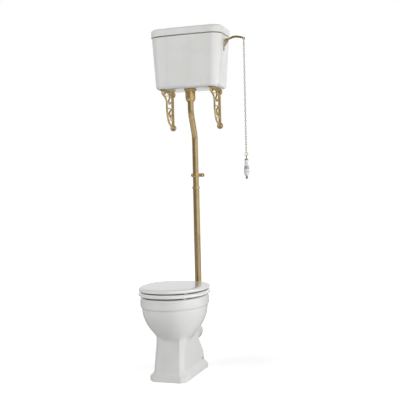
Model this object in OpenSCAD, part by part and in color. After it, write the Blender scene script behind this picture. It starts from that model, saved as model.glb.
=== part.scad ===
// High level lavatory suite worked by a pull chain.
// X runs to the right of someone facing the suite, Y runs towards the wall
// and Z runs up. The origin is on the floor, midway between the two floor
// fixings of the pan, so the wall plane stands at y = wall_y.
// Depths named "from the wall" are turned into y by from_wall().

/* [Setting out] */
// Distance from the back of the plinth to the line of the floor fixings
fix_in = 40; // [34:1:48]
// Height of the cistern's underside above the floor
cistern_z = 1558; // [1500:1:1700]

/* [Pan] */
// Height of the rim above the floor
rim_z = 432; // [420:1:450]
// Width of the rim across the bowl
rim_w = 345; // [330:1:360]
// Distance from the wall to the front of the rim
rim_front = 640; // [620:1:660]
// Distance from the wall to the widest line of the bowl
rim_mid = 418; // [405:1:430]
// Distance from the wall to the back edge of the rim's deck
rim_back = 190; // [185:1:196]
// How far the deck for the seat stands out behind the bowl
deck_out = 44; // [38:1:50]
// Depth of the plain band round the rim
band_h = 50; // [40:1:60]
// Inset of the bowl behind the band
band_step = 7; // [3:1:10]
// Thickness of the fired clay
china_t = 11; // [9:0.5:13]
// Width of the flat rim round the opening
rim_t = 40; // [34:1:46]
// Half width of the pedestal just above the plinth
ped_hw = 82.5; // [78:0.5:90]
// Distance from the wall to the front of the pedestal above the plinth
ped_front = 548; // [535:1:560]
// Corner chamfer of the pedestal
ped_ch = 19; // [12:1:24]
// How far the plinth stands out from the pedestal
plinth_out = 19; // [12:1:24]
// Height of the plinth with its moulding
plinth_h = 50; // [44:1:56]
// Distance from the wall to the back of the plinth
foot_back = 193; // [188:1:200]
// Outside diameter of the waste spigot
spigot_d = 102; // [100:0.5:104]
// Height of the waste spigot's centre
spigot_z = 190; // [180:1:195]
// Distance from the wall to the end of the waste spigot
spigot_end = 121; // [100:1:135]
// Radius of the waterway through the trap
trap_r = 34; // [30:1:36]
// Height of the flush inlet's centre below the rim
horn_drop = 44; // [40:1:50]

/* [Seat and lid] */
// Width of the seat
seat_w = 362; // [350:1:372]
// Length of the seat
seat_l = 426; // [418:1:434]
// Thickness of the seat ring
seat_t = 21; // [18:0.5:24]
// Thickness of the lid
lid_t = 21; // [18:0.5:24]
// Height of the rubber buffers under seat and lid
buffer_h = 6; // [4:0.5:8]
// Width of the hole through the seat
seat_hole_w = 222; // [200:1:240]
// Diameter of the hinge bar
hinge_bar_d = 10; // [8:0.5:11]
// Distance between the two hinge pillars
hinge_span = 150; // [140:1:165]

/* [Cistern] */
// Width of the cistern body at its top
tank_w = 420; // [400:1:450]
// Depth of the cistern body at its top
tank_d = 190; // [180:1:205]
// Height of the cistern body
tank_h = 297; // [285:1:320]
// How much each end leans in towards the bottom
end_lean = 22; // [15:1:32]
// How much the front leans in towards the bottom
front_lean = 6; // [0:1:12]
// Radius of the front corners in plan
corner_r = 62; // [45:1:70]
// How much smaller that radius is at the underside
corner_taper = 16; // [0:1:18]
// How far the middle panel of the front stands out
panel_out = 4; // [2:0.5:6]
// Width of the middle panel
panel_w = 200; // [160:1:230]
// Radius of the edge round the underside
keel_r = 20; // [12:1:26]
// Wall thickness of the cistern
tank_t = 11; // [9:0.5:13]
// Height of the cistern lid
cover_h = 42; // [38:1:56]
// Overhang of the cistern lid past the body
cover_over = 5; // [3:0.5:8]
// Radius of the top edge of the cistern lid
cover_r = 13; // [8:1:18]
// Height of the shadow gap under the lid
cover_gap = 3; // [2:0.5:4]

/* [Brackets] */
// Distance between the two brackets
bracket_span = 288; // [260:1:300]
// Reach of a bracket out from the wall
bracket_reach = 178; // [165:1:182]
// Height from the top of a bracket to its lower wall pad's centre
bracket_h = 207; // [195:1:225]
// Thickness of a bracket's casting
bracket_t = 9; // [7:0.5:12]
// Width of the strip that the cistern stands on
arm_w = 22; // [18:1:28]
// Diameter of a bracket's round wall pads
pad_d = 37; // [34:1:42]
// Distance between the two screw holes of a wall pad
pad_holes = 21; // [20:0.5:24]

/* [Flush pipe] */
// Outside diameter of the upper flush pipe
pipe_d = 34; // [32:0.5:36]
// Wall thickness of the flush pipes
pipe_t = 1.2; // [1:0.1:2]
// Distance from the wall to the centre of the lower run
pipe_wall = 36; // [34:1:45]
// Angle at which the pipe is set back to the wall
set_angle = 24; // [20:1:28]
// Radius of the two bends of the set
set_r = 85; // [75:1:95]
// Height where the set begins, below the cistern
set_drop = 104; // [98:1:120]
// Height of the slip joint above the floor
slip_z = 996; // [900:1:1010]
// Height of the pipe clip above the floor
clip_z = 1071; // [1060:1:1150]
// Radius of the bend into the pan
foot_r = 70; // [62:1:75]

/* [Lever and chain] */
// Depth of the lever's pivot below the top of the cistern body
pivot_down = 33; // [29:1:42]
// Distance of the pivot out from the end of the cistern
pivot_out = 17; // [15:1:22]
// Distance from the pivot to the chain
lever_out = 97; // [85:1:110]
// Distance from the pivot in to the lift rod
lever_in = 152; // [146:1:158]
// Diameter of the lever
lever_d = 9; // [8:0.5:10]
// Number of chain links
links = 40; // [20:2:50]
// Outside length of a link
link_l = 20.6; // [18:0.2:24]
// Outside width of a link
link_w = 9.6; // [9:0.2:12]
// Wire diameter of a link
wire_d = 2.6; // [2:0.1:2.8]
// Length of the ceramic handle
handle_l = 92; // [80:1:110]
// Largest diameter of the ceramic handle
handle_d = 31; // [26:1:34]

/* [Flushing parts] */
// Diameter of the siphon's chamber
chamber_d = 84; // [78:1:88]
// Height of the siphon's chamber
chamber_h = 128; // [118:1:132]
// Diameter of the float
float_d = 88; // [80:1:92]
// Distance from the float arm's hinge to the middle of the float
float_arm = 92; // [88:1:95]

/* [Hidden] */
$fn = 48;

wall_y = foot_back + fix_in;
function from_wall(d) = wall_y - d;

// Running gap between parts that turn or slide, and gap between loose parts
run = 0.05;
gap = 0.3;
e = 0.01;

// ---- Closed outlines and the skins that join them ---------------------

// Egg outline: half width hw, front and back half lengths, with the
// squareness of each half given as a superellipse power.
function egg(hw, front, back, nf = 2.1, nb = 2.4, n = 48) =
    [for (i = [0 : n - 1])
        let (t = 360 * i / n, c = cos(t), s = sin(t), k = s < 0 ? 2 / nf : 2 / nb)
        [hw * sign(c) * pow(abs(c), k),
         (s < 0 ? front : back) * sign(s) * pow(abs(s), k)]];

// One outline lifted to height z, with its own origin at y = y0
function at(z, outline, y0 = 0) = [for (p = outline) [p[0], p[1] + y0, z]];

// Solid through a list of rings that all have the same number of points
module skin(rings) {
    n = len(rings[0]);
    m = len(rings);
    pts = [for (r = rings) each r];
    sides = [for (j = [0 : m - 2], i = [0 : n - 1])
        let (a = j * n + i, b = j * n + (i + 1) % n)
        each [[a, a + n, b], [b, a + n, b + n]]];
    caps = [[for (i = [0 : n - 1]) i],
            [for (i = [n - 1 : -1 : 0]) (m - 1) * n + i]];
    polyhedron(points = pts, faces = concat(sides, caps), convexity = 6);
}

// Round bar of radius r whose centre line is a list of points in the XY plane
module bar_along(path, r, n = 16) {
    m = len(path);
    skin([for (j = [0 : m - 1])
        let (d = path[min(j + 1, m - 1)] - path[max(j - 1, 0)], u = d / norm(d))
        [for (i = [0 : n - 1])
            let (a = 360 * i / n)
            [path[j][0] + u[1] * r * cos(a), path[j][1] - u[0] * r * cos(a), -r * sin(a)]]]);
}

// Points of an arc, from angle a to angle b in n steps
function arc(c, r, a, b, n = 8) =
    [for (i = [0 : n]) let (t = a + (b - a) * i / n) [c[0] + r * cos(t), c[1] + r * sin(t)]];

// Quarter-round edge as pairs of [height, inset], n steps from the side up
function edge_round(r, n = 5) = [for (i = [0 : n]) [r * sin(90 * i / n), r * (1 - cos(90 * i / n))]];

// The same piece on the right and on the left
module both_sides() {
    children();
    mirror([1, 0, 0]) children();
}

// Tube with its axis along Z
module tube(ro, ri, h) {
    difference() {
        cylinder(r = ro, h = h);
        translate([0, 0, -1]) cylinder(r = ri, h = h + 2);
    }
}

// Hexagon nut across flats af, with its bore
module hex_nut(af, bore, h) {
    difference() {
        cylinder(d = af / cos(30), h = h, $fn = 6);
        translate([0, 0, -1]) cylinder(r = bore, h = h + 2);
    }
}

// Slotted round-headed screw, head on top of z = 0
module round_screw(head_r, head_h, shank_r, shank_l) {
    difference() {
        union() {
            translate([0, 0, head_h - (head_r * head_r + head_h * head_h) / (2 * head_h)])
                intersection() {
                    sphere(r = (head_r * head_r + head_h * head_h) / (2 * head_h));
                    translate([0, 0, (head_r * head_r + head_h * head_h) / (2 * head_h) - head_h])
                        cylinder(r = head_r + 1, h = head_h + 1);
                }
            translate([0, 0, -shank_l]) cylinder(r = shank_r, h = shank_l + 0.2);
        }
        translate([-head_r, -head_r * 0.12, head_h * 0.55])
            cube([2 * head_r, head_r * 0.24, head_h]);
    }
}

// ---- Pan --------------------------------------------------------------

rim_hw = rim_w / 2;
front_semi = rim_front - rim_mid;
back_semi = rim_mid - rim_back;
band_z = rim_z - band_h;
mid_y = from_wall(rim_mid);
// The bowl meets the pedestal at join_z and ends hidden inside it
join_z = 218;
bowl_bottom = 200;
side_in = 80;
front_in = 112;
back_in = 62;

// Share of the way in from the rim at height z, a parabola below the band
function draw_in(z) = 0.09 + 0.91 * pow((band_z - 7 - z) / (band_z - 7 - join_z), 2);
function bowl_ring(z, inset, share, deck = 0, steep = 0) =
    at(z, egg(rim_hw - side_in * share - inset, front_semi - front_in * share - inset,
              back_semi - deck_out + deck - back_in * share - inset - steep, 2.1,
              deck > 0 ? 3.4 : 2.5), mid_y);

module bowl_outside() {
    steps = 9;
    z_top = band_z - 10;
    skin(concat(
        [for (i = [steps : -1 : 0])
            let (z = z_top - (z_top - bowl_bottom) * i / steps) bowl_ring(z, 0, draw_in(z))],
        [bowl_ring(band_z - 2, band_step - 2, 0),
         bowl_ring(band_z + 4, 0, 0, deck_out),
         bowl_ring(rim_z - 6, 0, 0, deck_out),
         bowl_ring(rim_z - 2, 2, 0, deck_out),
         bowl_ring(rim_z, 6, 0, deck_out)]));
}

// Way through the trap: down the leg, round under the dip, up and over to
// the spigot. Each entry is [y, z].
trap_shell = trap_r + china_t - 1;
leg_y = from_wall(rim_mid + 12);
u_r = trap_shell + 3;
u_z = trap_shell + u_r + 6;
elbow_r = trap_shell + 3;
elbow_y = leg_y + 2 * u_r + elbow_r;
elbow_z = spigot_z - elbow_r;
module trap_run(r) {
    rotate([90, 0, 90]) bar_along(trap_path, r, 20);
}

// The back of the bowl drops steeply at its foot, clear of the trap behind
steep_in = 50;
steep_top = join_z + 50;
function steep(z) = steep_in * pow(max(steep_top - z, 0) / (steep_top - join_z + 6), 2);
function throat(z, grow) = at(z, egg(trap_r + 8 + grow, trap_r + 14 + grow,
                                     trap_r + 10 + grow, 2, 2), leg_y);

// China round the throat, where the bowl runs down into the trap
throat_t = china_t + 6;
module throat_outside() {
    skin([at(bowl_bottom - 70, egg(trap_shell + 1, trap_shell + 1, trap_shell + 1, 2, 2), leg_y),
          throat(bowl_bottom - 32, throat_t),
          bowl_ring(bowl_bottom + 4, 4, draw_in(bowl_bottom + 4), 0, 0)]);
}

// Inside of the bowl, from the opening past the flushing rim to the leg
module bowl_inside() {
    lip = rim_t;
    skin(concat(
        [at(bowl_bottom - 60, egg(trap_r, trap_r, trap_r, 2, 2), leg_y),
         throat(bowl_bottom - 20, 0)],
        [for (i = [0 : 6])
            let (z = join_z - 6 + (band_z - 10 - join_z) * i / 6)
            bowl_ring(z, china_t + 1, draw_in(z), 0, steep(z))],
        [bowl_ring(rim_z - 34, china_t + band_step - 3, 0),
         bowl_ring(rim_z - 31, lip + 1, 0),
         bowl_ring(rim_z - 26, lip + 4, 0),
         bowl_ring(rim_z - 5, lip + 4, 0),
         bowl_ring(rim_z - 1, lip + 1, 0),
         bowl_ring(rim_z + 1, lip - 3, 0)]));
}

// Pedestal outline: chamfered front corners and a square back
function foot(hw, front, back, ch) =
    [[-hw + ch, -front], [hw - ch, -front], [hw, -front + ch], [hw, -back],
     [-hw, -back], [-hw, -front + ch]];
ped_top = plinth_h + 186;
ped_back = foot_back + 11;
back_knee = plinth_h + 40;
back_slope = 0.79;
side_lean = 0.035;
front_lean_ped = 0.175;
function ped_half(z) = ped_hw - side_lean * max(z - plinth_h, 0);
function ped_face(z) = ped_front - front_lean_ped * max(z - plinth_h, 0);
function ped_rear(z) = ped_back + back_slope * max(z - back_knee, 0);
function ped_ring(z, out, back) =
    at(z, foot(ped_half(z) + out, ped_face(z) + out, back, ped_ch + out * 0.4), wall_y);
// Steps of the moulding: height as a share of the plinth, and stand-out
moulding = [[0, 1], [0.52, 1], [0.58, 0.93], [0.67, 0.72], [0.75, 0.46], [0.85, 0.2], [1, 0]];

module pedestal_outside() {
    skin(concat(
        [for (m = moulding)
            ped_ring(m[0] * plinth_h, m[1] * plinth_out, ped_back - (ped_back - foot_back) * m[1])],
        [ped_ring(back_knee, 0, ped_back), ped_ring(ped_top, 0, ped_rear(ped_top))]));
}

module pedestal_hollow() {
    t = china_t;
    top = bowl_bottom - 8;
    flare = plinth_out * 0.5;
    skin([
        at(-1, foot(ped_hw - t + flare, ped_front - t + flare, foot_back + t, ped_ch), wall_y),
        at(plinth_h * 0.4, foot(ped_hw - t + flare, ped_front - t + flare, foot_back + t, ped_ch),
           wall_y),
        at(plinth_h, foot(ped_hw - t, ped_front - t, ped_back + t, ped_ch * 0.7), wall_y),
        at(back_knee, foot(ped_half(back_knee) - t, ped_face(back_knee) - t, ped_back + t,
                           ped_ch * 0.7), wall_y),
        at(top, foot(ped_half(top) - t, ped_face(top) - t, ped_rear(top) + t, ped_ch * 0.7),
           wall_y)]);
}

// The spigot starts clear behind the sloping back of the pedestal
spigot_r = spigot_d / 2;
spigot_t = 9;
spigot_root = ped_rear(spigot_z - spigot_r) - 2;
trap_path = concat(
    [[leg_y, bowl_bottom]],
    arc([leg_y + u_r, u_z], u_r, 180, 360, 10),
    arc([elbow_y, elbow_z], elbow_r, 180, 90, 6),
    [[from_wall(spigot_root - 14), spigot_z]]);

horn_z = rim_z - horn_drop;
horn_r = 27;
horn_bore = 21;
horn_end = rim_back - 30;
stud_x = hinge_span / 2;
hinge_back = rim_back + 16;
stud_hole = 7;
stud_seat = 14;
deck_flat = 4.5;
fix_z = plinth_h + 10;
fix_hole = 4.5;

module pan() {
    color("whitesmoke") difference() {
        union() {
            difference() {
                union() {
                    bowl_outside();
                    pedestal_outside();
                }
                pedestal_hollow();
            }
            throat_outside();
            trap_run(trap_shell);
            translate([0, from_wall(spigot_root), spigot_z]) rotate([-90, 0, 0])
                cylinder(r = spigot_r, h = spigot_root - spigot_end);
            translate([0, from_wall(rim_back + deck_out + 20), horn_z]) rotate([-90, 0, 0])
                cylinder(r = horn_r, h = rim_back + deck_out + 20 - horn_end);
        }
        bowl_inside();
        trap_run(trap_r);
        translate([0, from_wall(spigot_root - 6), spigot_z]) rotate([-90, 0, 0])
            cylinder(r = spigot_r - spigot_t, h = spigot_root - spigot_end);
        translate([0, from_wall(rim_back + deck_out + 40), horn_z]) rotate([-90, 0, 0])
            cylinder(r = horn_bore, h = rim_back + deck_out + 41 - horn_end);
        for (s = [-1, 1]) {
            translate([s * stud_x, from_wall(hinge_back), band_z - 20])
                cylinder(r = stud_hole, h = band_h + 30);
            translate([s * stud_x, from_wall(hinge_back), band_z - 20])
                cylinder(r = stud_seat, h = 20 + deck_flat);
            translate([s * (ped_half(fix_z) - china_t - 5), 0, fix_z]) rotate([0, s * 90, 0])
                cylinder(r = fix_hole, h = 40);
        }
    }
}

// ---- Floor fixings ----------------------------------------------------

// Angle blocks inside the foot: the screw from the side holds the pan down
angle_face = ped_half(fix_z) - china_t - 1.5;
angle_front = 18;
angle_back = fix_in - (ped_back - foot_back) - china_t - 2;
angle_t = 7;
angle_h = fix_z + 14;
angle_in = 40;
floor_hole_x = 50;
floor_hole = 4.25;
side_screw_r = 3;

module floor_brackets() {
    color("gainsboro") both_sides() difference() {
        union() {
            translate([angle_face - angle_in, -angle_front, 0])
                cube([angle_in, angle_front + angle_back, angle_t]);
            translate([angle_face - angle_t, -angle_front, 0])
                cube([angle_t, angle_front + angle_back, angle_h]);
            for (y = [-angle_front, angle_back - 5])
                translate([0, y + 5, 0]) rotate([90, 0, 0]) linear_extrude(5)
                    polygon([[angle_face - angle_in + 6, angle_t - e],
                             [angle_face - angle_t + e, angle_t - e],
                             [angle_face - angle_t + e, angle_h - 22]]);
        }
        translate([floor_hole_x, 0, -1]) cylinder(r = floor_hole, h = angle_t + 2);
        translate([angle_face - angle_t - 1, 0, fix_z]) rotate([0, 90, 0])
            cylinder(r = side_screw_r + run, h = angle_t + 2);
    }
}

side_seat = ped_half(fix_z - 8) + 0.4;
module side_screws() {
    color("silver") both_sides()
        translate([side_seat + 1.5, 0, fix_z]) rotate([0, 90, 0])
            round_screw(6.5, 4, side_screw_r, side_seat + 1.5 - angle_face + angle_t + 6);
}

module side_washers() {
    color("white") both_sides()
        translate([side_seat, 0, fix_z]) rotate([0, 90, 0]) tube(8.5, side_screw_r + run, 1.5);
}

// ---- Seat, lid and their hinge ----------------------------------------

seat_back = hinge_back + 14;
seat_front = seat_back + seat_l;
seat_mid = rim_mid + 4;
seat_hw = seat_w / 2;
seat_z = rim_z + buffer_h;
lid_z = seat_z + seat_t + buffer_h;
bar_z = lid_z - 3;
bar_r = hinge_bar_d / 2;
seat_y = from_wall(seat_mid);
knuckle_r = bar_r + 3;

function seat_ring_at(z, inset) =
    at(z, egg(seat_hw - inset, seat_front - seat_mid - inset, seat_mid - seat_back - inset,
              2.1, 2.45), seat_y);
hole_front = seat_front - seat_mid - 64;
hole_back = 118;
function hole_ring_at(z, out) =
    at(z, egg(seat_hole_w / 2 + out, hole_front + out, hole_back + out, 2.1, 2.2), seat_y);

module seat_ring() {
    t = seat_t;
    color("white") difference() {
        skin([seat_ring_at(seat_z, 6), seat_ring_at(seat_z + 1.5, 2.6),
              seat_ring_at(seat_z + 5, 0.3), seat_ring_at(seat_z + 0.55 * t, 0),
              seat_ring_at(seat_z + 0.75 * t, 1.2), seat_ring_at(seat_z + 0.9 * t, 4),
              seat_ring_at(seat_z + t, 10)]);
        skin([hole_ring_at(seat_z - 1, 5), hole_ring_at(seat_z + 1, 2.5),
              hole_ring_at(seat_z + 4, 0), hole_ring_at(seat_z + 0.5 * t, 1),
              hole_ring_at(seat_z + 0.8 * t, 6), hole_ring_at(seat_z + 0.94 * t, 12),
              hole_ring_at(seat_z + t + 0.5, 19)]);
        pilot_holes(seat_strap_x, seat_z);
    }
}

module seat_lid() {
    t = lid_t;
    color("white") difference() {
        skin([
            seat_ring_at(lid_z, 8), seat_ring_at(lid_z + 1.5, 4.6), seat_ring_at(lid_z + 5, 2.3),
            seat_ring_at(lid_z + 0.5 * t, 2), seat_ring_at(lid_z + 0.68 * t, 3.4),
            seat_ring_at(lid_z + 0.83 * t, 7.5), seat_ring_at(lid_z + 0.92 * t, 15),
            seat_ring_at(lid_z + 0.98 * t, 40), seat_ring_at(lid_z + t, 90)]);
        pilot_holes(lid_strap_x, lid_z);
    }
}

// Pilot holes for the strap screws, one pair under each strap
strap_t = 3;
leaf_l = 53;
leaf_holes = [30, 45];
seat_strap_x = hinge_span / 2 - 26;
lid_strap_x = seat_strap_x - 20;
screw_r = 2;
screw_in = 11;
module pilot_holes(x, z) {
    for (s = [-1, 1], y = leaf_holes) translate([s * x, from_wall(hinge_back) - y, z - 1])
        cylinder(r = screw_r + run, h = screw_in + 1.5);
}

buffer_r = 9;
buffer_in = 75;
buffer_back = 84;
side_in_buffer = 45;
side_buffer = 100;
front_buffer = [seat_hw - buffer_in, seat_front - buffer_back];
back_buffer = [seat_hw - side_in_buffer, seat_back + side_buffer];
module buffer(z) {
    difference() {
        translate([0, 0, z]) cylinder(r1 = buffer_r - 1, r2 = buffer_r, h = buffer_h);
        translate([0, 0, z - 1]) cylinder(r = 2.4, h = 3.5);
    }
}

module seat_buffers() {
    color("ivory") for (s = [-1, 1], b = [front_buffer, back_buffer])
        translate([s * b[0], from_wall(b[1]), 0]) buffer(rim_z);
}

module lid_buffers() {
    color("ivory") for (s = [-1, 1], b = [front_buffer, back_buffer])
        translate([s * (b[0] + 6), from_wall(b[1]), 0]) buffer(seat_z + seat_t);
}

pillar_r = 8.5;
pillar_x = stud_x;
pillar_foot_r = 12.5;
pillar_foot = 4;
top_washer = 1.5;
deck_washer = 3;
wing_h = 8;
module hinge_pillars() {
    color("goldenrod") for (s = [-1, 1]) translate([s * pillar_x, from_wall(hinge_back), 0])
        difference() {
            union() {
                translate([0, 0, rim_z + top_washer]) cylinder(r = pillar_foot_r, h = pillar_foot);
                translate([0, 0, rim_z + top_washer + 2])
                    cylinder(r = pillar_r, h = bar_z - rim_z - top_washer - 2);
                translate([0, 0, bar_z]) sphere(r = pillar_r);
            }
            translate([-20, 0, bar_z]) rotate([0, 90, 0]) cylinder(r = bar_r, h = 40);
            translate([0, 0, rim_z]) cylinder(r = 4, h = stud_in + 0.5);
        }
}

bar_half = pillar_x + 14;
module hinge_bar() {
    color("goldenrod") translate([-bar_half, from_wall(hinge_back), bar_z]) rotate([0, 90, 0])
        union() {
            cylinder(r = bar_r, h = 2 * bar_half);
            for (z = [0, 2 * bar_half - 4]) translate([0, 0, z]) cylinder(r = bar_r + 1.5, h = 4);
        }
}

stud_in = 17.5;
stud_low = band_z + deck_flat - deck_washer - wing_h - 4;
stud_l = rim_z + stud_in - stud_low;
module hinge_studs() {
    color("goldenrod") for (s = [-1, 1])
        translate([s * stud_x, from_wall(hinge_back), stud_low])
            cylinder(r = 4, h = stud_l);
}

module hinge_washers() {
    color("dimgray") for (s = [-1, 1]) translate([s * stud_x, from_wall(hinge_back), 0]) {
        translate([0, 0, rim_z]) tube(pillar_foot_r, 4 + run, top_washer);
        translate([0, 0, band_z + deck_flat - deck_washer]) tube(12, 4 + run, deck_washer);
    }
}

module hinge_nuts() {
    color("goldenrod") for (s = [-1, 1])
        translate([s * stud_x, from_wall(hinge_back), stud_low + 4]) {
            tube(8, 4 + run, wing_h);
            for (a = [20, 200]) rotate([0, 0, a]) translate([7, -1.5, 0]) cube([9, 3, wing_h]);
        }
}

// Each strap is a knuckle on the bar and a leaf screwed to the wood
knuckle_w = 16;

module knuckle() {
    rotate([0, 90, 0]) translate([0, 0, -knuckle_w / 2]) tube(knuckle_r, bar_r + run, knuckle_w);
}

module strap_at(x) {
    for (s = [-1, 1]) translate([s * x, from_wall(hinge_back), bar_z]) children();
}

module seat_straps() {
    drop = bar_z - seat_z;
    color("goldenrod") strap_at(seat_strap_x) difference() {
        union() {
            knuckle();
            translate([-knuckle_w / 2, -knuckle_r - strap_t, -drop])
                cube([knuckle_w, strap_t, drop]);
            translate([-knuckle_w / 2, -knuckle_r - strap_t, -strap_t])
                cube([knuckle_w, knuckle_r + strap_t - bar_r - 1, strap_t]);
            translate([-knuckle_w / 2, -leaf_l, -drop]) mirror([0, 0, 1])
                cube([knuckle_w, leaf_l - knuckle_r, strap_t - gap]);
        }
        for (y = leaf_holes) translate([0, -y, -drop - strap_t])
            cylinder(r = screw_r + run, h = 2 * strap_t);
    }
}

// Wood screw pointing up, its head under z = 0
module strap_screw() {
    mirror([0, 0, 1]) cylinder(r = 3.6, h = 1.6);
    cylinder(r = screw_r, h = strap_t + screw_in - 1);
}

module seat_strap_screws() {
    drop = bar_z - seat_z + strap_t - gap;
    color("goldenrod") strap_at(seat_strap_x) for (y = leaf_holes)
        translate([0, -y, -drop]) strap_screw();
}

module lid_straps() {
    color("goldenrod") strap_at(lid_strap_x) difference() {
        union() {
            knuckle();
            translate([-knuckle_w / 2, -leaf_l, lid_z - bar_z - strap_t + gap])
                cube([knuckle_w, leaf_l - bar_r - 1, strap_t - gap]);
        }
        for (y = leaf_holes) translate([0, -y, -1]) cylinder(r = screw_r + run, h = 2 * strap_t);
    }
}

module lid_strap_screws() {
    color("goldenrod") strap_at(lid_strap_x) for (y = leaf_holes)
        translate([0, -y, lid_z - bar_z - strap_t + gap]) strap_screw();
}

// ---- Cistern ----------------------------------------------------------

function tank_hw(z) = tank_w / 2 - end_lean * (1 - z / tank_h);
function tank_reach(z) = tank_d - front_lean * (1 - z / tank_h);

// Plan of the cistern: flat back, rounded front corners, raised middle
// panel and a front that bows out a little towards the panel
bow = 0.3;
function tank_plan(hw, d, r, back, p) =
    concat([[-p, -d - bow], [-p, -d - panel_out], [p, -d - panel_out], [p, -d - bow]],
           arc([hw - r, -d + r], r, -90, 0, 8),
           [[hw, -back - 6], [hw - 6, -back], [-hw + 6, -back], [-hw, -back - 6]],
           arc([-hw + r, -d + r], r, 180, 270, 8));
function tank_ring(z, inset, back = 0) =
    at(z + cistern_z, tank_plan(tank_hw(z) - inset, tank_reach(z) - inset,
                                corner_r - corner_taper * (1 - z / tank_h) - inset,
                                back, (panel_w - inset) / 2), wall_y);
function cover_ring(z, inset, back = 0) =
    at(z + cistern_z + tank_h, tank_plan(tank_w / 2 + cover_over - inset,
                                         tank_d + cover_over - inset,
                                         corner_r + cover_over - inset, back,
                                         (panel_w - inset) / 2), wall_y);

rebate = 4;
tank_floor = 14;
outlet_d = tank_d / 2;
outlet_y = from_wall(outlet_d);
outlet_hole = 25;
tank_screw_x = 120;
tank_screw_up = tank_h - 60;
tank_screw_hole = 5;

// Frame of a fitting on the leaning right end: X points out of the wall
lean_a = atan(end_lean / tank_h);
lever_d_wall = tank_d / 2;
pivot_up = tank_h - pivot_down;
module on_end(up) {
    translate([tank_hw(up), from_wall(lever_d_wall), cistern_z + up]) rotate([0, lean_a, 0])
        children();
}
wall_n = tank_t * cos(lean_a);
slot_r = 7.5;
slot_run = 11;
bolt_r = 2.5;
bolt_up = [-25, -50];

// Fittings through the left end stand on flats cut in the leaning wall
valve_up = tank_h - 57;
valve_d = 66;
valve_flat = 18;
valve_tail = 10.5;
valve_shank = valve_tail + 0.6;
over_up = tank_h - 65;
over_d = 30;
over_flat = 16;
over_r = 11;
over_shank = over_r + 0.6;
function flat_out(up, r) = -tank_hw(up - r);
function flat_in(up, r) = -tank_hw(up + r) + tank_t;
module end_hole(up, d, flat, hole) {
    translate([flat_out(up, flat), from_wall(d), cistern_z + up]) rotate([0, -90, 0])
        cylinder(r = flat, h = 20);
    translate([flat_in(up, flat), from_wall(d), cistern_z + up]) rotate([0, 90, 0])
        cylinder(r = flat, h = 20);
    translate([flat_out(up, flat) - 5, from_wall(d), cistern_z + up]) rotate([0, 90, 0])
        cylinder(r = hole, h = 30);
}

module cistern_tank() {
    t = tank_t;
    color("whitesmoke") difference() {
        skin(concat(
            [for (a = [0 : 15 : 90]) tank_ring(keel_r * (1 - cos(a)), keel_r * (1 - sin(a)))],
            [tank_ring(tank_h - cover_gap - 0.5, 0), tank_ring(tank_h - cover_gap, rebate),
             tank_ring(tank_h, rebate)]));
        skin([tank_ring(tank_floor, t + 10, t + 8), tank_ring(tank_floor + 3, t + 4, t + 3),
              tank_ring(tank_floor + 10, t, t), tank_ring(tank_h + 1, t, t)]);
        translate([0, outlet_y, cistern_z - 1]) cylinder(r = outlet_hole, h = tank_floor + 2);
        for (s = [-1, 1])
            translate([s * tank_screw_x, from_wall(tank_t + 4), cistern_z + tank_screw_up])
                rotate([-90, 0, 0]) cylinder(r = tank_screw_hole, h = tank_t + 8);
        on_end(pivot_up) {
            for (z = [-2, slot_run - 2]) translate([-tank_t - 6, 0, z]) rotate([0, 90, 0])
                cylinder(r = slot_r, h = tank_t + 14);
            translate([-tank_t - 6, -slot_r, -2]) cube([tank_t + 14, 2 * slot_r, slot_run]);
            for (z = bolt_up) translate([-tank_t - 6, 0, z]) rotate([0, 90, 0])
                cylinder(r = bolt_r + 0.5, h = tank_t + 14);
        }
        end_hole(valve_up, valve_d, valve_flat, valve_shank + 0.7);
        end_hole(over_up, over_d, over_flat, over_shank + 0.7);
    }
}

module cistern_lid() {
    h = cover_h;
    ledge = tank_t + cover_over + 2.5;
    color("whitesmoke") difference() {
        union() {
            skin(concat(
                [cover_ring(0, 1), cover_ring(1, 0)],
                [for (q = edge_round(cover_r, 4)) cover_ring(h - cover_r + q[0], q[1])]));
            skin([cover_ring(-8, ledge + 1, ledge - cover_over), cover_ring(-6, ledge, ledge - cover_over),
                  cover_ring(1, ledge, ledge - cover_over)]);
        }
        skin([cover_ring(-9, ledge + 7, ledge + 1), cover_ring(5, ledge + 7, ledge + 1),
              cover_ring(10, 10, 10), cover_ring(h - 20, 10, 10), cover_ring(h - 10, 22, 20)]);
    }
}

// ---- Wall brackets ----------------------------------------------------

// Band of width w along a list of points, for the cast scrolls
function aside(path, k) =
    let (m = len(path))
    [for (j = [0 : m - 1])
        let (d = path[min(j + 1, m - 1)] - path[max(j - 1, 0)])
        path[j] + [-d[1], d[0]] / norm(d) * k];
function turned(list) = [for (j = [len(list) - 1 : -1 : 0]) list[j]];
module ribbon(path, w) {
    polygon(concat(aside(path, w / 2), turned(aside(path, -w / 2))));
}
// Curve from p to s drawn towards q and r
function sweep(p, q, r, s, n = 8) =
    [for (i = [0 : n]) let (t = i / n, k = 1 - t)
        k * k * k * p + 3 * k * k * t * q + 3 * k * t * t * r + t * t * t * s];

strip_t = 2;
rail_in = 4;
rail_out = 15;
pad_t = 7;
pad_edge = 2;
pad_top = -13;
pad_low = -bracket_h;
pad_screw = 2.75;
arm_t = 6;
rib = 7;

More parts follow.
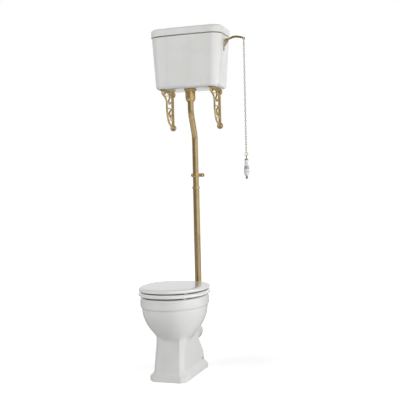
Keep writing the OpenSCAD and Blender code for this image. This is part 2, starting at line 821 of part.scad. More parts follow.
// The bracket seen from its side: x is the distance from the wall and y
// the height above the cistern's underside.
module bracket_side() {
    reach = bracket_reach;
    low = pad_low;
    translate([rail_in, low]) square([rail_out - rail_in, -low - strip_t]);
    translate([0, -strip_t - arm_t - 3]) square([reach - 8, arm_t + 3]);
    translate([reach - 9, -strip_t - arm_t]) circle(r = arm_t, $fn = 32);
    // The front sweeps back under the strip, runs down and turns in to the wall
    ribbon(sweep([reach - 5, -8], [reach - 14, -38], [reach - 74, -22], [99, -72]), rib);
    ribbon(sweep([99, -70], [95, -92], [101, -112], [93, -134]), rib);
    ribbon(sweep([93.3, -132], [86, -165], [74, -188], [rail_out - 2, low + 4]), rib);
    // Arch under the strip, and the chord below it
    ribbon(sweep([145, -31], [124, -12], [106, -10], [90, -9]), rib - 2);
    ribbon(sweep([92, -9], [70, -10], [50, -14], [rail_out - 3, -36]), rib - 2);
    ribbon(sweep([126, -34], [100, -25], [66, -25], [34, -25]), rib - 2);
    // Forked strut with a curled end
    ribbon(sweep([98, -70], [82, -66], [64, -56], [46, -26]), rib - 2);
    ribbon(sweep([68, -55], [66, -74], [46, -78], [44, -62]), rib - 3);
    translate([45, -61]) circle(r = 4, $fn = 24);
    // Two rungs, and the scroll between them
    ribbon([[rail_out - 3, -94], [55, -98], [97, -97]], rib - 1);
    ribbon([[rail_out - 3, -162], [45, -161], [84, -166]], rib - 1);
    ribbon(sweep([24, -97], [34, -110], [56, -108], [61, -126]), rib - 2);
    ribbon(sweep([61, -125], [64, -144], [43, -150], [40, -135]), rib - 2);
    translate([42, -134]) circle(r = 4.5, $fn = 24);
    ribbon(sweep([94, -118], [84, -128], [74, -132], [60, -132]), rib - 3);
    ribbon(sweep([rail_out - 3, -146], [24, -152], [36, -154], [48, -146]), rib - 3);
}

module bracket() {
    translate([bracket_t / 2, wall_y, cistern_z]) rotate([90, 0, -90])
        linear_extrude(bracket_t) bracket_side();
    translate([-arm_w / 2, from_wall(bracket_reach - 4), cistern_z - strip_t - 4])
        cube([arm_w, bracket_reach - 4, 4]);
    difference() {
        union() {
            for (v = [pad_top, pad_low])
                translate([0, from_wall(pad_t), cistern_z + v]) rotate([-90, 0, 0]) {
                    cylinder(r1 = pad_d / 2 - pad_edge, r2 = pad_d / 2, h = pad_edge);
                    translate([0, 0, pad_edge]) cylinder(r = pad_d / 2, h = pad_t - pad_edge);
                }
            translate([-bracket_t / 2 - 3, from_wall(pad_t - 1), cistern_z + pad_low])
                cube([bracket_t + 6, pad_t - 1, pad_top - pad_low]);
        }
        translate([-pad_d, from_wall(pad_t + 1), cistern_z - strip_t])
            cube([2 * pad_d, pad_t + 2, pad_d]);
        for (v = [pad_top, pad_low], s = [-1, 1])
            translate([s * pad_holes / 2, from_wall(pad_t + 1), cistern_z + v])
                rotate([-90, 0, 0]) cylinder(r = pad_screw, h = pad_t + 2);
    }
}

module bracket_left() {
    color("goldenrod") translate([-bracket_span / 2, 0, 0]) bracket();
}

module bracket_right() {
    color("goldenrod") translate([bracket_span / 2, 0, 0]) bracket();
}

module bracket_strips() {
    color("dimgray") for (s = [-1, 1])
        translate([s * bracket_span / 2 - arm_w / 2, from_wall(bracket_reach - 16),
                   cistern_z - strip_t])
            cube([arm_w, bracket_reach - 20, strip_t]);
}

// ---- Siphon and outlet ------------------------------------------------

pivot_x = tank_hw(pivot_up) + pivot_out * cos(lean_a);
pivot_y = from_wall(lever_d_wall);
pivot_z = cistern_z + pivot_up - pivot_out * sin(lean_a);
siphon_x = pivot_x - lever_in;
chamber_r = chamber_d / 2;
shell_t = 3;
leg_w = 46;
tail_r = 23;
tail_bore = 19;
tail_down = 40;
tail_in = 26;
flange_r = 33;
seal_t = 3;
chamber_low = 22;
arch_z = chamber_low + chamber_h + 20;

// The outlet and the siphon's leg stand under the middle of the cistern
module at_outlet() {
    translate([0, outlet_y, cistern_z]) children();
}

// Passage of width w: leg, arch and neck, drawn in the plane of the rod
module siphon_passage(w, low, neck) {
    mid = siphon_x / 2;
    translate([-w / 2, -w / 2, low]) cube([w, w, arch_z - low]);
    translate([siphon_x - w / 2, -w / 2, neck]) cube([w, w, arch_z - neck]);
    translate([mid, w / 2, arch_z]) rotate([90, 0, 0]) linear_extrude(w) difference() {
        circle(r = mid + w / 2);
        circle(r = mid - w / 2);
        translate([-2 * mid - w, -2 * mid - 2 * w]) square([4 * mid + 2 * w, 2 * mid + 2 * w]);
    }
}

module siphon_body() {
    inner = leg_w - 2 * shell_t;
    color("lightgray") at_outlet() difference() {
        union() {
            translate([0, 0, -tail_down]) cylinder(r = tail_r, h = tail_down + tail_in);
            translate([0, 0, tank_floor + seal_t]) cylinder(r = flange_r, h = 6);
            siphon_passage(leg_w, tank_floor + seal_t + 5, arch_z - 20);
            translate([siphon_x, 0, chamber_low]) cylinder(r = chamber_r, h = chamber_h);
        }
        translate([0, 0, -tail_down - 1]) cylinder(r = tail_bore, h = tail_down + tail_in + 4);
        siphon_passage(inner, tank_floor + seal_t + 8, arch_z - 26);
        translate([siphon_x, 0, chamber_low - 1])
            cylinder(r = chamber_r - shell_t, h = chamber_h + 1 - shell_t);
        translate([siphon_x, 0, arch_z]) cylinder(r = 3.5, h = 80);
    }
}

module siphon_seal() {
    color("dimgray") at_outlet() translate([0, 0, tank_floor]) tube(flange_r, tail_r + run, seal_t);
}

rod_r = 3;
plate_up = chamber_low + 18;
link_low = pivot_up - 34;
rod_top = link_low + 9;
module siphon_rod() {
    color("silver") at_outlet() translate([siphon_x, 0, plate_up]) {
        difference() {
            cylinder(r = chamber_r - 6, h = 3);
            for (a = [0 : 60 : 300]) rotate([0, 0, a]) translate([22, 0, -1])
                cylinder(r = 7, h = 5);
        }
        translate([0, 0, 2]) cylinder(r = rod_r, h = rod_top - plate_up - 2);
    }
}

module siphon_diaphragm() {
    color("dimgray") at_outlet() translate([siphon_x, 0, plate_up + 3])
        tube(chamber_r - 4, rod_r + run, 1.2);
}

// Stirrup on top of the rod: the lever's inner end works in its window
window_low = link_low + 11;
window_h = 18;
module lift_link() {
    color("goldenrod") at_outlet() translate([siphon_x, 0, 0]) difference() {
        union() {
            translate([-2, -13, link_low + 4]) cube([4, 26, window_low + window_h + 5 - link_low - 4]);
            translate([0, 0, link_low]) cylinder(r = 6, h = 10);
        }
        translate([-3, -8, window_low]) cube([6, 16, window_h]);
        translate([0, 0, link_low - 1]) cylinder(r = rod_r + run, h = rod_top - link_low + 1.5);
    }
}

outlet_nut_h = 8;
outlet_washer_t = 2;
module outlet_washer() {
    color("dimgray") at_outlet() translate([0, 0, -outlet_washer_t])
        tube(34, tail_r + run, outlet_washer_t);
}

module outlet_nut() {
    h = outlet_nut_h;
    color("goldenrod") at_outlet() translate([0, 0, -outlet_washer_t - h])
        rotate_extrude() polygon([[tail_r + run, 0], [29.5, 0], [31, h * 0.35], [35, h * 0.65],
                                  [36, h * 0.8], [36, h], [tail_r + run, h]]);
}

pipe_r = pipe_d / 2;
union_top = -outlet_washer_t - outlet_nut_h - 0.5;
union_low = -72;
module coupling_nut() {
    bore = tail_r + run;
    color("goldenrod") at_outlet() rotate_extrude() polygon(concat(
        [[bore, union_top], [28, union_top], [29, union_top - 1.5], [29, union_low + 28]],
        [for (a = [15 : 15 : 75]) [20.5 + 8.5 * cos(a), union_low + 28 - 22 * sin(a)]],
        [[20.5, union_low + 6], [20.5, union_low], [pipe_r + run, union_low],
         [pipe_r + run, union_low + 16], [bore, union_low + 22]]));
}

// ---- Flush pipe -------------------------------------------------------

pipe_out = outlet_d;
pipe_top = -tail_down - 2;
set_back = pipe_out - pipe_wall;
bend_back = set_r * (1 - cos(set_angle));
bend_down = set_r * sin(set_angle);
set_len = (set_back - 2 * bend_back) / sin(set_angle);
set_top = cistern_z - set_drop;
set_low = set_top - 2 * bend_down - set_len * cos(set_angle);
slip_lap = 60;

// Quarter or part bend of a bar: it starts upwards at the origin and
// leans over towards +X.
module bend(radius, angle, r) {
    translate([radius, 0, 0]) rotate([90, 0, 0]) rotate([0, 0, 180 - angle])
        rotate_extrude(angle = angle) translate([radius, 0]) circle(r = r);
}

// Centre line of the set from below: [y, z] up the wall, out and up again
set_path = concat(
    [[from_wall(pipe_wall), set_low - 6]],
    arc([from_wall(pipe_wall + set_r), set_low], set_r, 0, set_angle, 6),
    arc([outlet_y + set_r, set_top], set_r, 180 + set_angle, 180, 6),
    [[outlet_y, set_top + 6]]);

// Upper pipe: straight, set back to the wall, straight. The many-sided set
// is drawn round the straight lengths, so that each ends inside it.
module upper_run(r, more) {
    sides = 24;
    translate([0, outlet_y, set_top])
        cylinder(r = r, h = cistern_z + pipe_top - set_top + more);
    translate([0, from_wall(pipe_wall), slip_z - slip_lap - more])
        cylinder(r = r, h = set_low - slip_z + slip_lap + more);
    rotate([90, 0, 90]) bar_along(set_path, (r + 0.02) / cos(180 / sides), sides);
}

module upper_pipe() {
    color("goldenrod") difference() {
        upper_run(pipe_r, 0);
        upper_run(pipe_r - pipe_t, 1);
    }
}

low_bore = pipe_r + 0.15;
low_r = low_bore + pipe_t;
horn_in = 22;
module lower_run(r, more) {
    bend_z = horn_z + foot_r;
    translate([0, from_wall(pipe_wall), bend_z]) cylinder(r = r, h = slip_z - bend_z + more);
    translate([0, from_wall(pipe_wall), bend_z]) rotate([180, 0, 0]) rotate([0, 0, 90])
        bend(foot_r, 90, r);
    translate([0, from_wall(horn_end + horn_in + more), horn_z]) rotate([-90, 0, 0])
        cylinder(r = r, h = horn_end + horn_in + more - pipe_wall - foot_r);
}

module lower_pipe() {
    color("goldenrod") difference() {
        lower_run(low_r, 0);
        lower_run(low_bore, 1);
    }
}

module slip_collar() {
    color("goldenrod") translate([0, from_wall(pipe_wall), slip_z - 4]) difference() {
        union() {
            cylinder(r = 21, h = 13);
            translate([0, 0, 2]) cylinder(r = 21.8, h = 9);
        }
        translate([0, 0, -1]) cylinder(r = low_r + run, h = 11);
        translate([0, 0, 8]) cylinder(r = pipe_r + run, h = 10);
    }
}

module slip_seal() {
    color("dimgray") translate([0, from_wall(pipe_wall), slip_z + 0.2])
        tube(low_r, pipe_r + run, 5.6);
}

module flush_cone() {
    grip = horn_r + run;
    color("dimgray") translate([0, from_wall(horn_end), horn_z]) rotate([-90, 0, 0])
        rotate_extrude() polygon([
            [grip, -20], [grip + 3, -20], [grip + 4, -17], [grip + 4, 3], [grip + 1, 8],
            [low_r + 5, 24], [low_r + 3, 28], [low_r + run, 28], [low_r + run, 8],
            [horn_bore + 2, 0.3], [grip, 0.3]]);
}

clip_t = 2.5;
clip_w = 20;
clip_hole_x = 30;
clip_hole = 2.75;
module pipe_clip() {
    r = pipe_r + gap;
    color("goldenrod") translate([0, wall_y, clip_z]) {
        translate([0, 0, -clip_w / 2]) linear_extrude(clip_w) difference() {
            union() {
                translate([0, -pipe_wall]) circle(r = r + clip_t);
                translate([-r - clip_t, -pipe_wall]) square([2 * r + 2 * clip_t, pipe_wall]);
            }
            translate([0, -pipe_wall]) circle(r = r);
            translate([-r, -pipe_wall]) square([2 * r, pipe_wall + 1]);
        }
        for (s = [-1, 1]) difference() {
            union() {
                translate([s * clip_hole_x, -clip_t, 0]) rotate([-90, 0, 0])
                    cylinder(r = 11, h = clip_t);
                translate([s * (r + clip_hole_x) / 2 - (clip_hole_x - r) / 2, -clip_t,
                           -clip_w / 2])
                    cube([clip_hole_x - r, clip_t, clip_w]);
            }
            translate([s * clip_hole_x, -clip_t - 1, 0]) rotate([-90, 0, 0])
                cylinder(r = clip_hole, h = clip_t + 2);
            translate([-r, -clip_t - 1, -clip_w]) cube([2 * r, clip_t + 2, 2 * clip_w]);
        }
    }
}

// ---- Float valve and overflow -----------------------------------------

valve_in = flat_in(valve_up, valve_flat);
valve_out = flat_out(valve_up, valve_flat);
over_in = flat_in(over_up, over_flat);
over_out = flat_out(over_up, over_flat);
washer_t = 3;
backnut_t = 6;
tail_out = 27;
barrel_r = 12;
piston_r = 8;
hinge_x = 30;
hinge_low = 17;
nib_h = 13;

// Along the valve: Z here runs inwards from the wall's inner flat
module at_valve() {
    translate([valve_in, from_wall(valve_d), cistern_z + valve_up]) children();
}

module valve_body() {
    color("goldenrod") at_valve() difference() {
        union() {
            translate([valve_out - valve_in - tail_out, 0, 0]) rotate([0, 90, 0])
                cylinder(r = valve_tail, h = tail_out);
            translate([valve_out - valve_in - washer_t - backnut_t, 0, 0]) rotate([0, 90, 0])
                cylinder(r = valve_shank, h = valve_in - valve_out + backnut_t + 2 * washer_t + 1);
            translate([washer_t, 0, 0]) rotate([0, 90, 0]) cylinder(r = 16, h = 4);
            translate([washer_t, 0, 0]) rotate([0, 90, 0]) cylinder(r = barrel_r, h = 45);
            for (y = [-8, 3.4]) translate([hinge_x - 6, y, -hinge_low - 5])
                cube([12, 4.6, hinge_low]);
            translate([14, 0, -34]) cylinder(r = 6, h = 28);
        }
        translate([valve_out - valve_in - tail_out - 1, 0, 0]) rotate([0, 90, 0])
            cylinder(r = 7, h = 60 - hinge_x);
        translate([valve_out - valve_in - tail_out - 1, 0, 0]) rotate([0, 90, 0])
            cylinder(r = 3, h = 70);
        translate([10, 0, 0]) rotate([0, 90, 0]) cylinder(r = piston_r + run, h = 60);
        translate([hinge_x - 7, -3.4, -hinge_low]) cube([20, 6.8, hinge_low]);
        translate([hinge_x, 20, -hinge_low]) rotate([90, 0, 0]) cylinder(r = 2 + run, h = 40);
        translate([14, 0, -35]) cylinder(r = 4, h = 36);
    }
}

module valve_backnut() {
    color("goldenrod") at_valve() translate([valve_out - valve_in - washer_t - backnut_t, 0, 0])
        rotate([0, 90, 0]) hex_nut(30, valve_shank + run, backnut_t);
}

module valve_washers() {
    color("dimgray") at_valve() for (x = [0, valve_out - valve_in - washer_t])
        translate([x, 0, 0]) rotate([0, 90, 0]) tube(16, valve_shank + run, washer_t);
}

piston_notch = 13.4;
module valve_piston() {
    color("silver") at_valve() difference() {
        translate([21, 0, 0]) rotate([0, 90, 0]) cylinder(r = piston_r, h = 24);
        translate([hinge_x - 3.8, -3.5, -piston_r - 1]) cube([piston_notch, 7, 8.6]);
    }
}

float_r = float_d / 2;
float_dip = 6;
module float_lever() {
    color("goldenrod") at_valve() translate([hinge_x, 0, -hinge_low]) difference() {
        union() {
            rotate([90, 0, 0]) translate([0, 0, -2.8]) cylinder(r = 5, h = 5.6);
            translate([-2, -2.5, 3.5]) cube([4, 5, nib_h - 3.5]);
            rotate([0, 90 + float_dip, 0]) translate([0, 0, 3.5])
                cylinder(r = 2.5, h = float_arm - float_r + 3);
        }
        rotate([90, 0, 0]) translate([0, 0, -5]) cylinder(r = 2 + run, h = 10);
    }
}

module float_pin() {
    color("silver") at_valve() translate([hinge_x, 9, -hinge_low]) rotate([90, 0, 0]) {
        cylinder(r = 2, h = 19.5);
        translate([0, 0, -1.5]) cylinder(r = 3.5, h = 1.5);
    }
}

module float_ball() {
    color("orangered") at_valve() translate([hinge_x, 0, -hinge_low])
        rotate([0, 90 + float_dip, 0]) difference() {
            union() {
                translate([0, 0, float_arm]) sphere(r = float_r);
                translate([0, 0, float_arm - float_r - 5]) cylinder(r = 6, h = 12);
            }
            translate([0, 0, float_arm - float_r - 6]) cylinder(r = 2.5 + run, h = 14);
        }
}

over_out_l = 30;
over_nut_t = 5;
module overflow_tail() {
    color("white") translate([over_in, from_wall(over_d), cistern_z + over_up])
        rotate([0, -90, 0]) difference() {
            union() {
                translate([0, 0, -3]) cylinder(r = 15, h = 3);
                translate([0, 0, -1])
                    cylinder(r = over_shank, h = over_in - over_out + washer_t + over_nut_t + 1);
                cylinder(r = over_r, h = over_in - over_out + over_out_l);
            }
            translate([0, 0, -4]) cylinder(r = over_r - 2.5, h = 60);
        }
}

module overflow_washer() {
    color("dimgray") translate([over_out, from_wall(over_d), cistern_z + over_up])
        rotate([0, -90, 0]) tube(15, over_shank + run, washer_t);
}

module overflow_nut() {
    color("white") translate([over_out - washer_t, from_wall(over_d), cistern_z + over_up])
        rotate([0, -90, 0]) hex_nut(27, over_shank + run, over_nut_t);
}

// ---- Lever ------------------------------------------------------------

pin_r = 3;
hub_w = 13;
ear_t = 3;
lever_r = lever_d / 2;
bar_drop = 4.3;
eye_r = 8.5;
eye_t = 4;
eye_hole = 4;
lever_rise = 14;
arc_r = (lever_out * lever_out / 4 + lever_rise * lever_rise) / (2 * lever_rise);
arc_half = asin(lever_out / 2 / arc_r);

module fulcrum_plate() {
    color("goldenrod") on_end(pivot_up) difference() {
        union() {
            translate([0, -7, -56]) cube([3, 14, 44]);
            translate([0, 0, -56]) rotate([0, 90, 0]) cylinder(r = 7, h = 3);
            translate([0, -hub_w / 2 - 0.5 - ear_t, -36]) cube([3, hub_w + 1 + 2 * ear_t, 24]);
            for (y = [hub_w / 2 + 0.5 + ear_t, -hub_w / 2 - 0.5]) translate([0, y, 0])
                rotate([90, 0, 0]) linear_extrude(ear_t) union() {
                    polygon([[0, -36], [3, -36], [pivot_out + 6.5, -3], [pivot_out - 6, 3],
                             [3, -12], [0, -12]]);
                    translate([pivot_out, 0]) circle(r = 7);
                }
        }
        translate([pivot_out, 20, 0]) rotate([90, 0, 0]) cylinder(r = pin_r + run, h = 40);
        for (z = bolt_up) translate([-1, 0, z]) rotate([0, 90, 0])
            cylinder(r = bolt_r + run, h = 5);
    }
}

module fulcrum_bolts() {
    color("goldenrod") on_end(pivot_up) for (z = bolt_up) translate([3, 0, z])
        rotate([0, 90, 0]) round_screw(5, 3, bolt_r, wall_n + 12);
}

module fulcrum_nuts() {
    color("goldenrod") on_end(pivot_up) for (z = bolt_up)
        translate([-wall_n - 5, 0, z]) rotate([0, 90, 0]) {
            translate([0, 0, 4]) tube(6.5, bolt_r + run, 1);
            hex_nut(8, bolt_r + run, 4);
        }
}

module lever_pin() {
    half = hub_w / 2 + 0.5 + ear_t;
    color("goldenrod") translate([pivot_x, pivot_y, pivot_z]) rotate([90, 0, 0]) {
        translate([0, 0, -half - 0.5]) cylinder(r = pin_r, h = 2 * half + 1);
        for (z = [-half - 2, half]) translate([0, 0, z]) cylinder(r = pin_r + 1.5, h = 2);
    }
}

module lever_arm() {
    reach = lever_in + 13;
    color("goldenrod") translate([pivot_x, pivot_y, pivot_z]) difference() {
        union() {
            rotate([90, 0, 0]) translate([0, 0, -hub_w / 2]) cylinder(r = 7.5, h = hub_w);
            rotate([0, -90 - bar_drop, 0]) cylinder(r = lever_r, h = reach);
            rotate([0, -90 - bar_drop, 0]) translate([0, 0, reach]) sphere(r = lever_r + 1.2);
            translate([lever_out / 2, 0, lever_rise - arc_r]) rotate([90, 0, 0])
                rotate([0, 0, 90 - arc_half]) rotate_extrude(angle = 2 * arc_half)
                    translate([arc_r, 0]) circle(r = lever_r);
            translate([lever_out, eye_t / 2, 0]) rotate([90, 0, 0]) cylinder(r = eye_r, h = eye_t);
        }
        translate([0, 20, 0]) rotate([90, 0, 0]) cylinder(r = pin_r + run, h = 40);
        translate([lever_out, 20, 0]) rotate([90, 0, 0]) cylinder(r = eye_hole, h = 40);
        for (s = [-1, 1]) translate([lever_out - 14, s * (eye_t / 2 + 5), -10])
            translate([0, -5, 0]) cube([28, 10, 20]);
    }
}

// ---- Chain and handle -------------------------------------------------

wire_r = wire_d / 2;
hook_r = 1.5;
hook_curl = 7;
hook_drop = 1.9;
chain_x = pivot_x + lever_out;
hook_top = pivot_z - hook_drop;
hook_low = hook_top - 4 * hook_curl;
slack = 0.2;
link_top = hook_low + hook_r + wire_r + slack;
link_pitch = link_l - 2 * wire_d - slack;
link_0 = link_top - (link_l - wire_d) / 2;
link_end = link_0 - (links - 1) * link_pitch - (link_l - wire_d) / 2;
ring_r = 8.5;
ring_wire = 1.5;
ring_z = link_end + wire_r + ring_wire + slack - ring_r;
loop_r = 5;
loop_wire = 1.5;
loop_z = ring_z - ring_r + ring_wire + loop_wire + slack - loop_r;
cap_top = loop_z - loop_r - 10;
handle_top = cap_top - 6;
handle_r = handle_d / 2;
rod_in = 2.5;

// S hook in the plane that faces the end of the lever
module chain_hook() {
    color("goldenrod") translate([chain_x, pivot_y, hook_top - hook_curl]) rotate([90, 0, 90]) {
        mirror([0, 1, 0]) rotate([0, 0, 90]) rotate_extrude(angle = 300)
            translate([hook_curl, 0]) circle(r = hook_r);
        translate([0, -2 * hook_curl, 0]) mirror([1, 0, 0]) rotate([0, 0, 90])
            rotate_extrude(angle = 300) translate([hook_curl, 0]) circle(r = hook_r);
    }
}

// Long link in the XZ plane: two half rings joined by two straight wires
module one_link() {
    r = (link_w - wire_d) / 2;
    h = link_l - link_w;
    for (s = [0, 180]) rotate([0, s, 0]) {
        translate([0, 0, h / 2]) rotate([90, 0, 0]) rotate_extrude(angle = 180)
            translate([r, 0]) circle(r = wire_r);
        translate([r, 0, -h / 2]) cylinder(r = wire_r, h = h);
    }
}

module pull_chain() {
    color("goldenrod") for (i = [0 : links - 1])
        translate([chain_x, pivot_y, link_0 - i * link_pitch]) rotate([0, 0, 90 * (i % 2)])
            one_link();
}

module handle_ring() {
    color("goldenrod") translate([chain_x, pivot_y, ring_z]) rotate([90, 0, 90 * (links % 2)])
        rotate_extrude() translate([ring_r, 0]) circle(r = ring_wire);
}

module handle_cap() {
    color("goldenrod") translate([chain_x, pivot_y, 0]) {
        translate([0, 0, loop_z]) rotate([90, 0, 90 - 90 * (links % 2)])
            rotate_extrude() translate([loop_r, 0]) circle(r = loop_wire);
        rotate_extrude() polygon([
            [0, handle_top - handle_l - 9], [rod_in, handle_top - handle_l - 9],
            [rod_in, handle_top + 0.2], [10, handle_top + 0.2], [11, handle_top + 1.2],
            [11, handle_top + 2.6], [9, handle_top + 4.4], [4.6, cap_top], [2.8, cap_top + 3],
            [2.4, cap_top + 10.3], [0, cap_top + 10.3]]);
    }
}

// Turned outline of the ceramic handle, from the bottom up: each entry is
// [radius as a share of the largest radius, height as a share of the length]
grip_shape = [[0.30, 0], [0.46, 0.02], [0.66, 0.07], [0.84, 0.14], [0.95, 0.21], [1, 0.29],
    [1, 0.35], [0.94, 0.43], [0.82, 0.52], [0.69, 0.61], [0.59, 0.69], [0.54, 0.76],
    [0.55, 0.82], [0.60, 0.88], [0.66, 0.93], [0.68, 0.97], [0.64, 1]];
module pull_handle() {
    color("white") translate([chain_x, pivot_y, handle_top - handle_l]) rotate_extrude()
        polygon(concat([[rod_in + 0.3, 0]],
                       [for (q = grip_shape) [q[0] * handle_r, q[1] * handle_l]],
                       [[rod_in + 0.3, handle_l]]));
}

module handle_finial() {
    color("goldenrod") translate([chain_x, pivot_y, handle_top - handle_l - 0.2]) difference() {
        union() {
            translate([0, 0, -3]) cylinder(r1 = 5, r2 = 6, h = 3);
            translate([0, 0, -7.5]) sphere(r = 6.5);
        }
        translate([0, 0, -9.5]) cylinder(r = rod_in + run, h = 12);
    }
}

pan();
floor_brackets();
side_screws();
side_washers();
hinge_studs();
hinge_washers();
hinge_nuts();
hinge_pillars();
hinge_bar();
seat_ring();
seat_buffers();
seat_straps();
seat_strap_screws();
seat_lid();
lid_buffers();
lid_straps();
lid_strap_screws();
flush_cone();
lower_pipe();
slip_collar();
slip_seal();
upper_pipe();
pipe_clip();
outlet_nut();
outlet_washer();
coupling_nut();
cistern_tank();
cistern_lid();
bracket_left();
bracket_right();
bracket_strips();
siphon_body();
siphon_seal();
siphon_rod();
siphon_diaphragm();
lift_link();
valve_body();
valve_backnut();
valve_washers();
valve_piston();
float_lever();
float_pin();
float_ball();
overflow_tail();
overflow_nut();
overflow_washer();
fulcrum_plate();
fulcrum_bolts();
fulcrum_nuts();
lever_pin();
lever_arm();
chain_hook();
pull_chain();
handle_ring();
handle_cap();
pull_handle();
handle_finial();
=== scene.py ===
import math

import bmesh
import bpy
import numpy as np
from mathutils import Matrix, Vector


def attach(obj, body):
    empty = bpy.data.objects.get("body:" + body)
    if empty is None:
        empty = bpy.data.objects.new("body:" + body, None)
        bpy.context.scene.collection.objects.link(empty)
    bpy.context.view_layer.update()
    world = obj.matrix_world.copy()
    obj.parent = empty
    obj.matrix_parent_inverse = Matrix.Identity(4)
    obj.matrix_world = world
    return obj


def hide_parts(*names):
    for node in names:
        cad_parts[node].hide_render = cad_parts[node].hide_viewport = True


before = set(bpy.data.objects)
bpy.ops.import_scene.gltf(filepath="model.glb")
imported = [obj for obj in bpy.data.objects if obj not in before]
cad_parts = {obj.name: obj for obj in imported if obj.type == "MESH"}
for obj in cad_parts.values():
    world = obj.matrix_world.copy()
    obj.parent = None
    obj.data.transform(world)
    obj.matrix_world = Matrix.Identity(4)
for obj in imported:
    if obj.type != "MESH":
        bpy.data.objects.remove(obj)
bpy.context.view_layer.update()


# ---- The pan: vitreous china -------------------------------------------
# One slip-cast piece: an oval bowl with a plain band and a flushing rim on
# a square pedestal with a moulded plinth. Cast in plaster moulds, fettled,
# dipped in white glaze and fired, so every edge is soft and wet-looking.

WALL_Y = 233.0
RIM_MID = 418.0
RIM_HALF, FRONT_SEMI, BACK_SEMI = 172.5, 222.0, 228.0
EGG_POWER, EGG_BACK_POWER = 2.1, 2.5
DECK_OUT, DECK_HALF, DECK_POWER = 44.0, 102.0, 16
BOWL_TOP, JOIN_Z, RIM_SHARE = 375.0, 218.0, 0.09
SIDE_IN, FRONT_IN, BACK_IN = 80.0, 112.0, 62.0
LEG_D = 430.0
PLINTH_H, PLINTH_OUT = 50.0, 19.0
PED_HALF, PED_FRONT, PED_BACK, PED_CHAMFER = 82.5, 548.0, 204.0, 19.0
SIDE_RAKE, FRONT_RAKE = 0.035, 0.175
FOOT_BACK = 193.0
BACK_KNEE, BACK_SLOPE = 90.0, 0.79
STEEP_IN, STEEP_TOP, STEEP_RUN = 50.0, 268.0, 56.0
FOOT_WALL, BOWL_WALL = 11.0, 12.0
SWELL_POWER, LEAST_SEMI = 15.0, 5.0


def y_at(depth):
    """Y of a point a given depth out from the wall."""
    return WALL_Y - depth


def spread_angles(n, corners, width, gain):
    """n angles all round, closer together by the given gain within 0.4 widths of a
    corner; the gain fades to none at 1.4 widths."""
    fine = np.linspace(-np.pi, np.pi, 7201)
    near = np.zeros_like(fine)
    for corner in corners:
        off = np.abs((np.degrees(fine) - corner + 180) % 360 - 180)
        near = np.maximum(near, np.clip(1.4 - off / width, 0, 1))
    total = np.concatenate([[0], np.cumsum(1 + gain * near[1:])])
    return np.interp(np.arange(n) / n * total[-1], total, fine)


PED_CORNERS = (-57, -123, 63, 117)
PAN_ANGLES = spread_angles(264, PED_CORNERS, 9.0, 2.2)


def column(values):
    """Row values as a column, to go with a row of angles."""
    return np.asarray(values, float).reshape(-1, 1)


def egg_reach(angles, half, front, back, front_power, back_power):
    """Distance from the middle to a superellipse |x/a|^p + |y/b|^p = 1 in each
    direction, with its own b and p in front (y < 0) and behind."""
    c, s = np.abs(np.cos(angles)), np.abs(np.sin(angles))
    ahead = np.sin(angles) < 0
    power = np.where(ahead, front_power, back_power)
    semi = np.where(ahead, front, back)
    return ((c / half) ** power + (s / semi) ** power) ** (-1 / power)


def box_reach(angles, half, front, back, chamfer, crisp=130.0):
    """Distance to a box with chamfered front corners in each direction: a soft
    minimum, by a negative power mean, of the distances to its six sides. They are
    taken in units of 100 mm, which keeps the powers in range."""
    c, s = np.cos(angles), np.sin(angles)
    slant = (half + front - chamfer) / math.sqrt(2)
    inverse = 0
    for nx, ny, d in ((1, 0, half), (-1, 0, half), (0, -1, front), (0, 1, back),
                      (0.70711, -0.70711, slant), (-0.70711, -0.70711, slant)):
        inverse = inverse + (np.maximum(nx * c + ny * s, 0.001) / d * 100) ** crisp
    return 100 * inverse ** (-1 / crisp)


def rings_at(angles, reach, heights, depth):
    """Rings of points: reach along each angle from a middle that stands the given
    depth out from the wall, each row at its own height."""
    z = np.broadcast_to(column(heights), reach.shape)
    return np.stack([reach * np.cos(angles), reach * np.sin(angles) + y_at(depth), z], -1)


def draw_in(z):
    """Share of the way in from the rim: a small one at the band, and from there a
    parabola that steepens downwards and reaches 1 where bowl and shaft join."""
    return RIM_SHARE + (1 - RIM_SHARE) * ((BOWL_TOP - z) / (BOWL_TOP - JOIN_Z)) ** 2


def steep(z):
    """How far the inside drops in at its back, clear of the trap behind: a parabola."""
    return STEEP_IN * (np.maximum(STEEP_TOP - z, 0) / STEEP_RUN) ** 2


def bowl_reach(inset, share, deck=0.0, nearer=0.0):
    """Reach of the bowl with an inset, its share drawn in, the deck's stand-out, and
    how much nearer its back comes. The deck is a box that runs out of the egg
    behind, joined by the p-th root of egg^p + box^p. Below the bowl the egg keeps
    a least size, lost inside the shaft."""
    inset, share, deck, nearer = map(column, (inset, share, deck, nearer))
    back = BACK_SEMI - DECK_OUT
    egg = egg_reach(PAN_ANGLES, np.maximum(RIM_HALF - SIDE_IN * share - inset, LEAST_SEMI),
                    np.maximum(FRONT_SEMI - FRONT_IN * share - inset, LEAST_SEMI),
                    np.maximum(back - BACK_IN * share - inset - nearer, LEAST_SEMI),
                    EGG_POWER, EGG_BACK_POWER)
    half = DECK_HALF - inset
    box = box_reach(PAN_ANGLES, half, half, back + deck - inset, 0.0)
    both = (egg**DECK_POWER + box**DECK_POWER) ** (1 / DECK_POWER)
    return np.where(deck > 0, both, egg)


def pedestal_reach(z, out, inset=0.0, chamfer=PED_CHAMFER):
    """Reach of the pedestal: above the plinth its sides and front lean in evenly, and
    above the knee its back slopes forward."""
    z, out = column(z), column(out)
    above = np.maximum(z - PLINTH_H, 0)
    back = (PED_BACK - (PED_BACK - FOOT_BACK) * out / PLINTH_OUT
            + BACK_SLOPE * np.maximum(z - BACK_KNEE, 0) + inset)
    return box_reach(PAN_ANGLES, PED_HALF - SIDE_RAKE * above + out - inset,
                     PED_FRONT - FRONT_RAKE * above + out - inset - RIM_MID,
                     RIM_MID - back, chamfer + 0.4 * out)


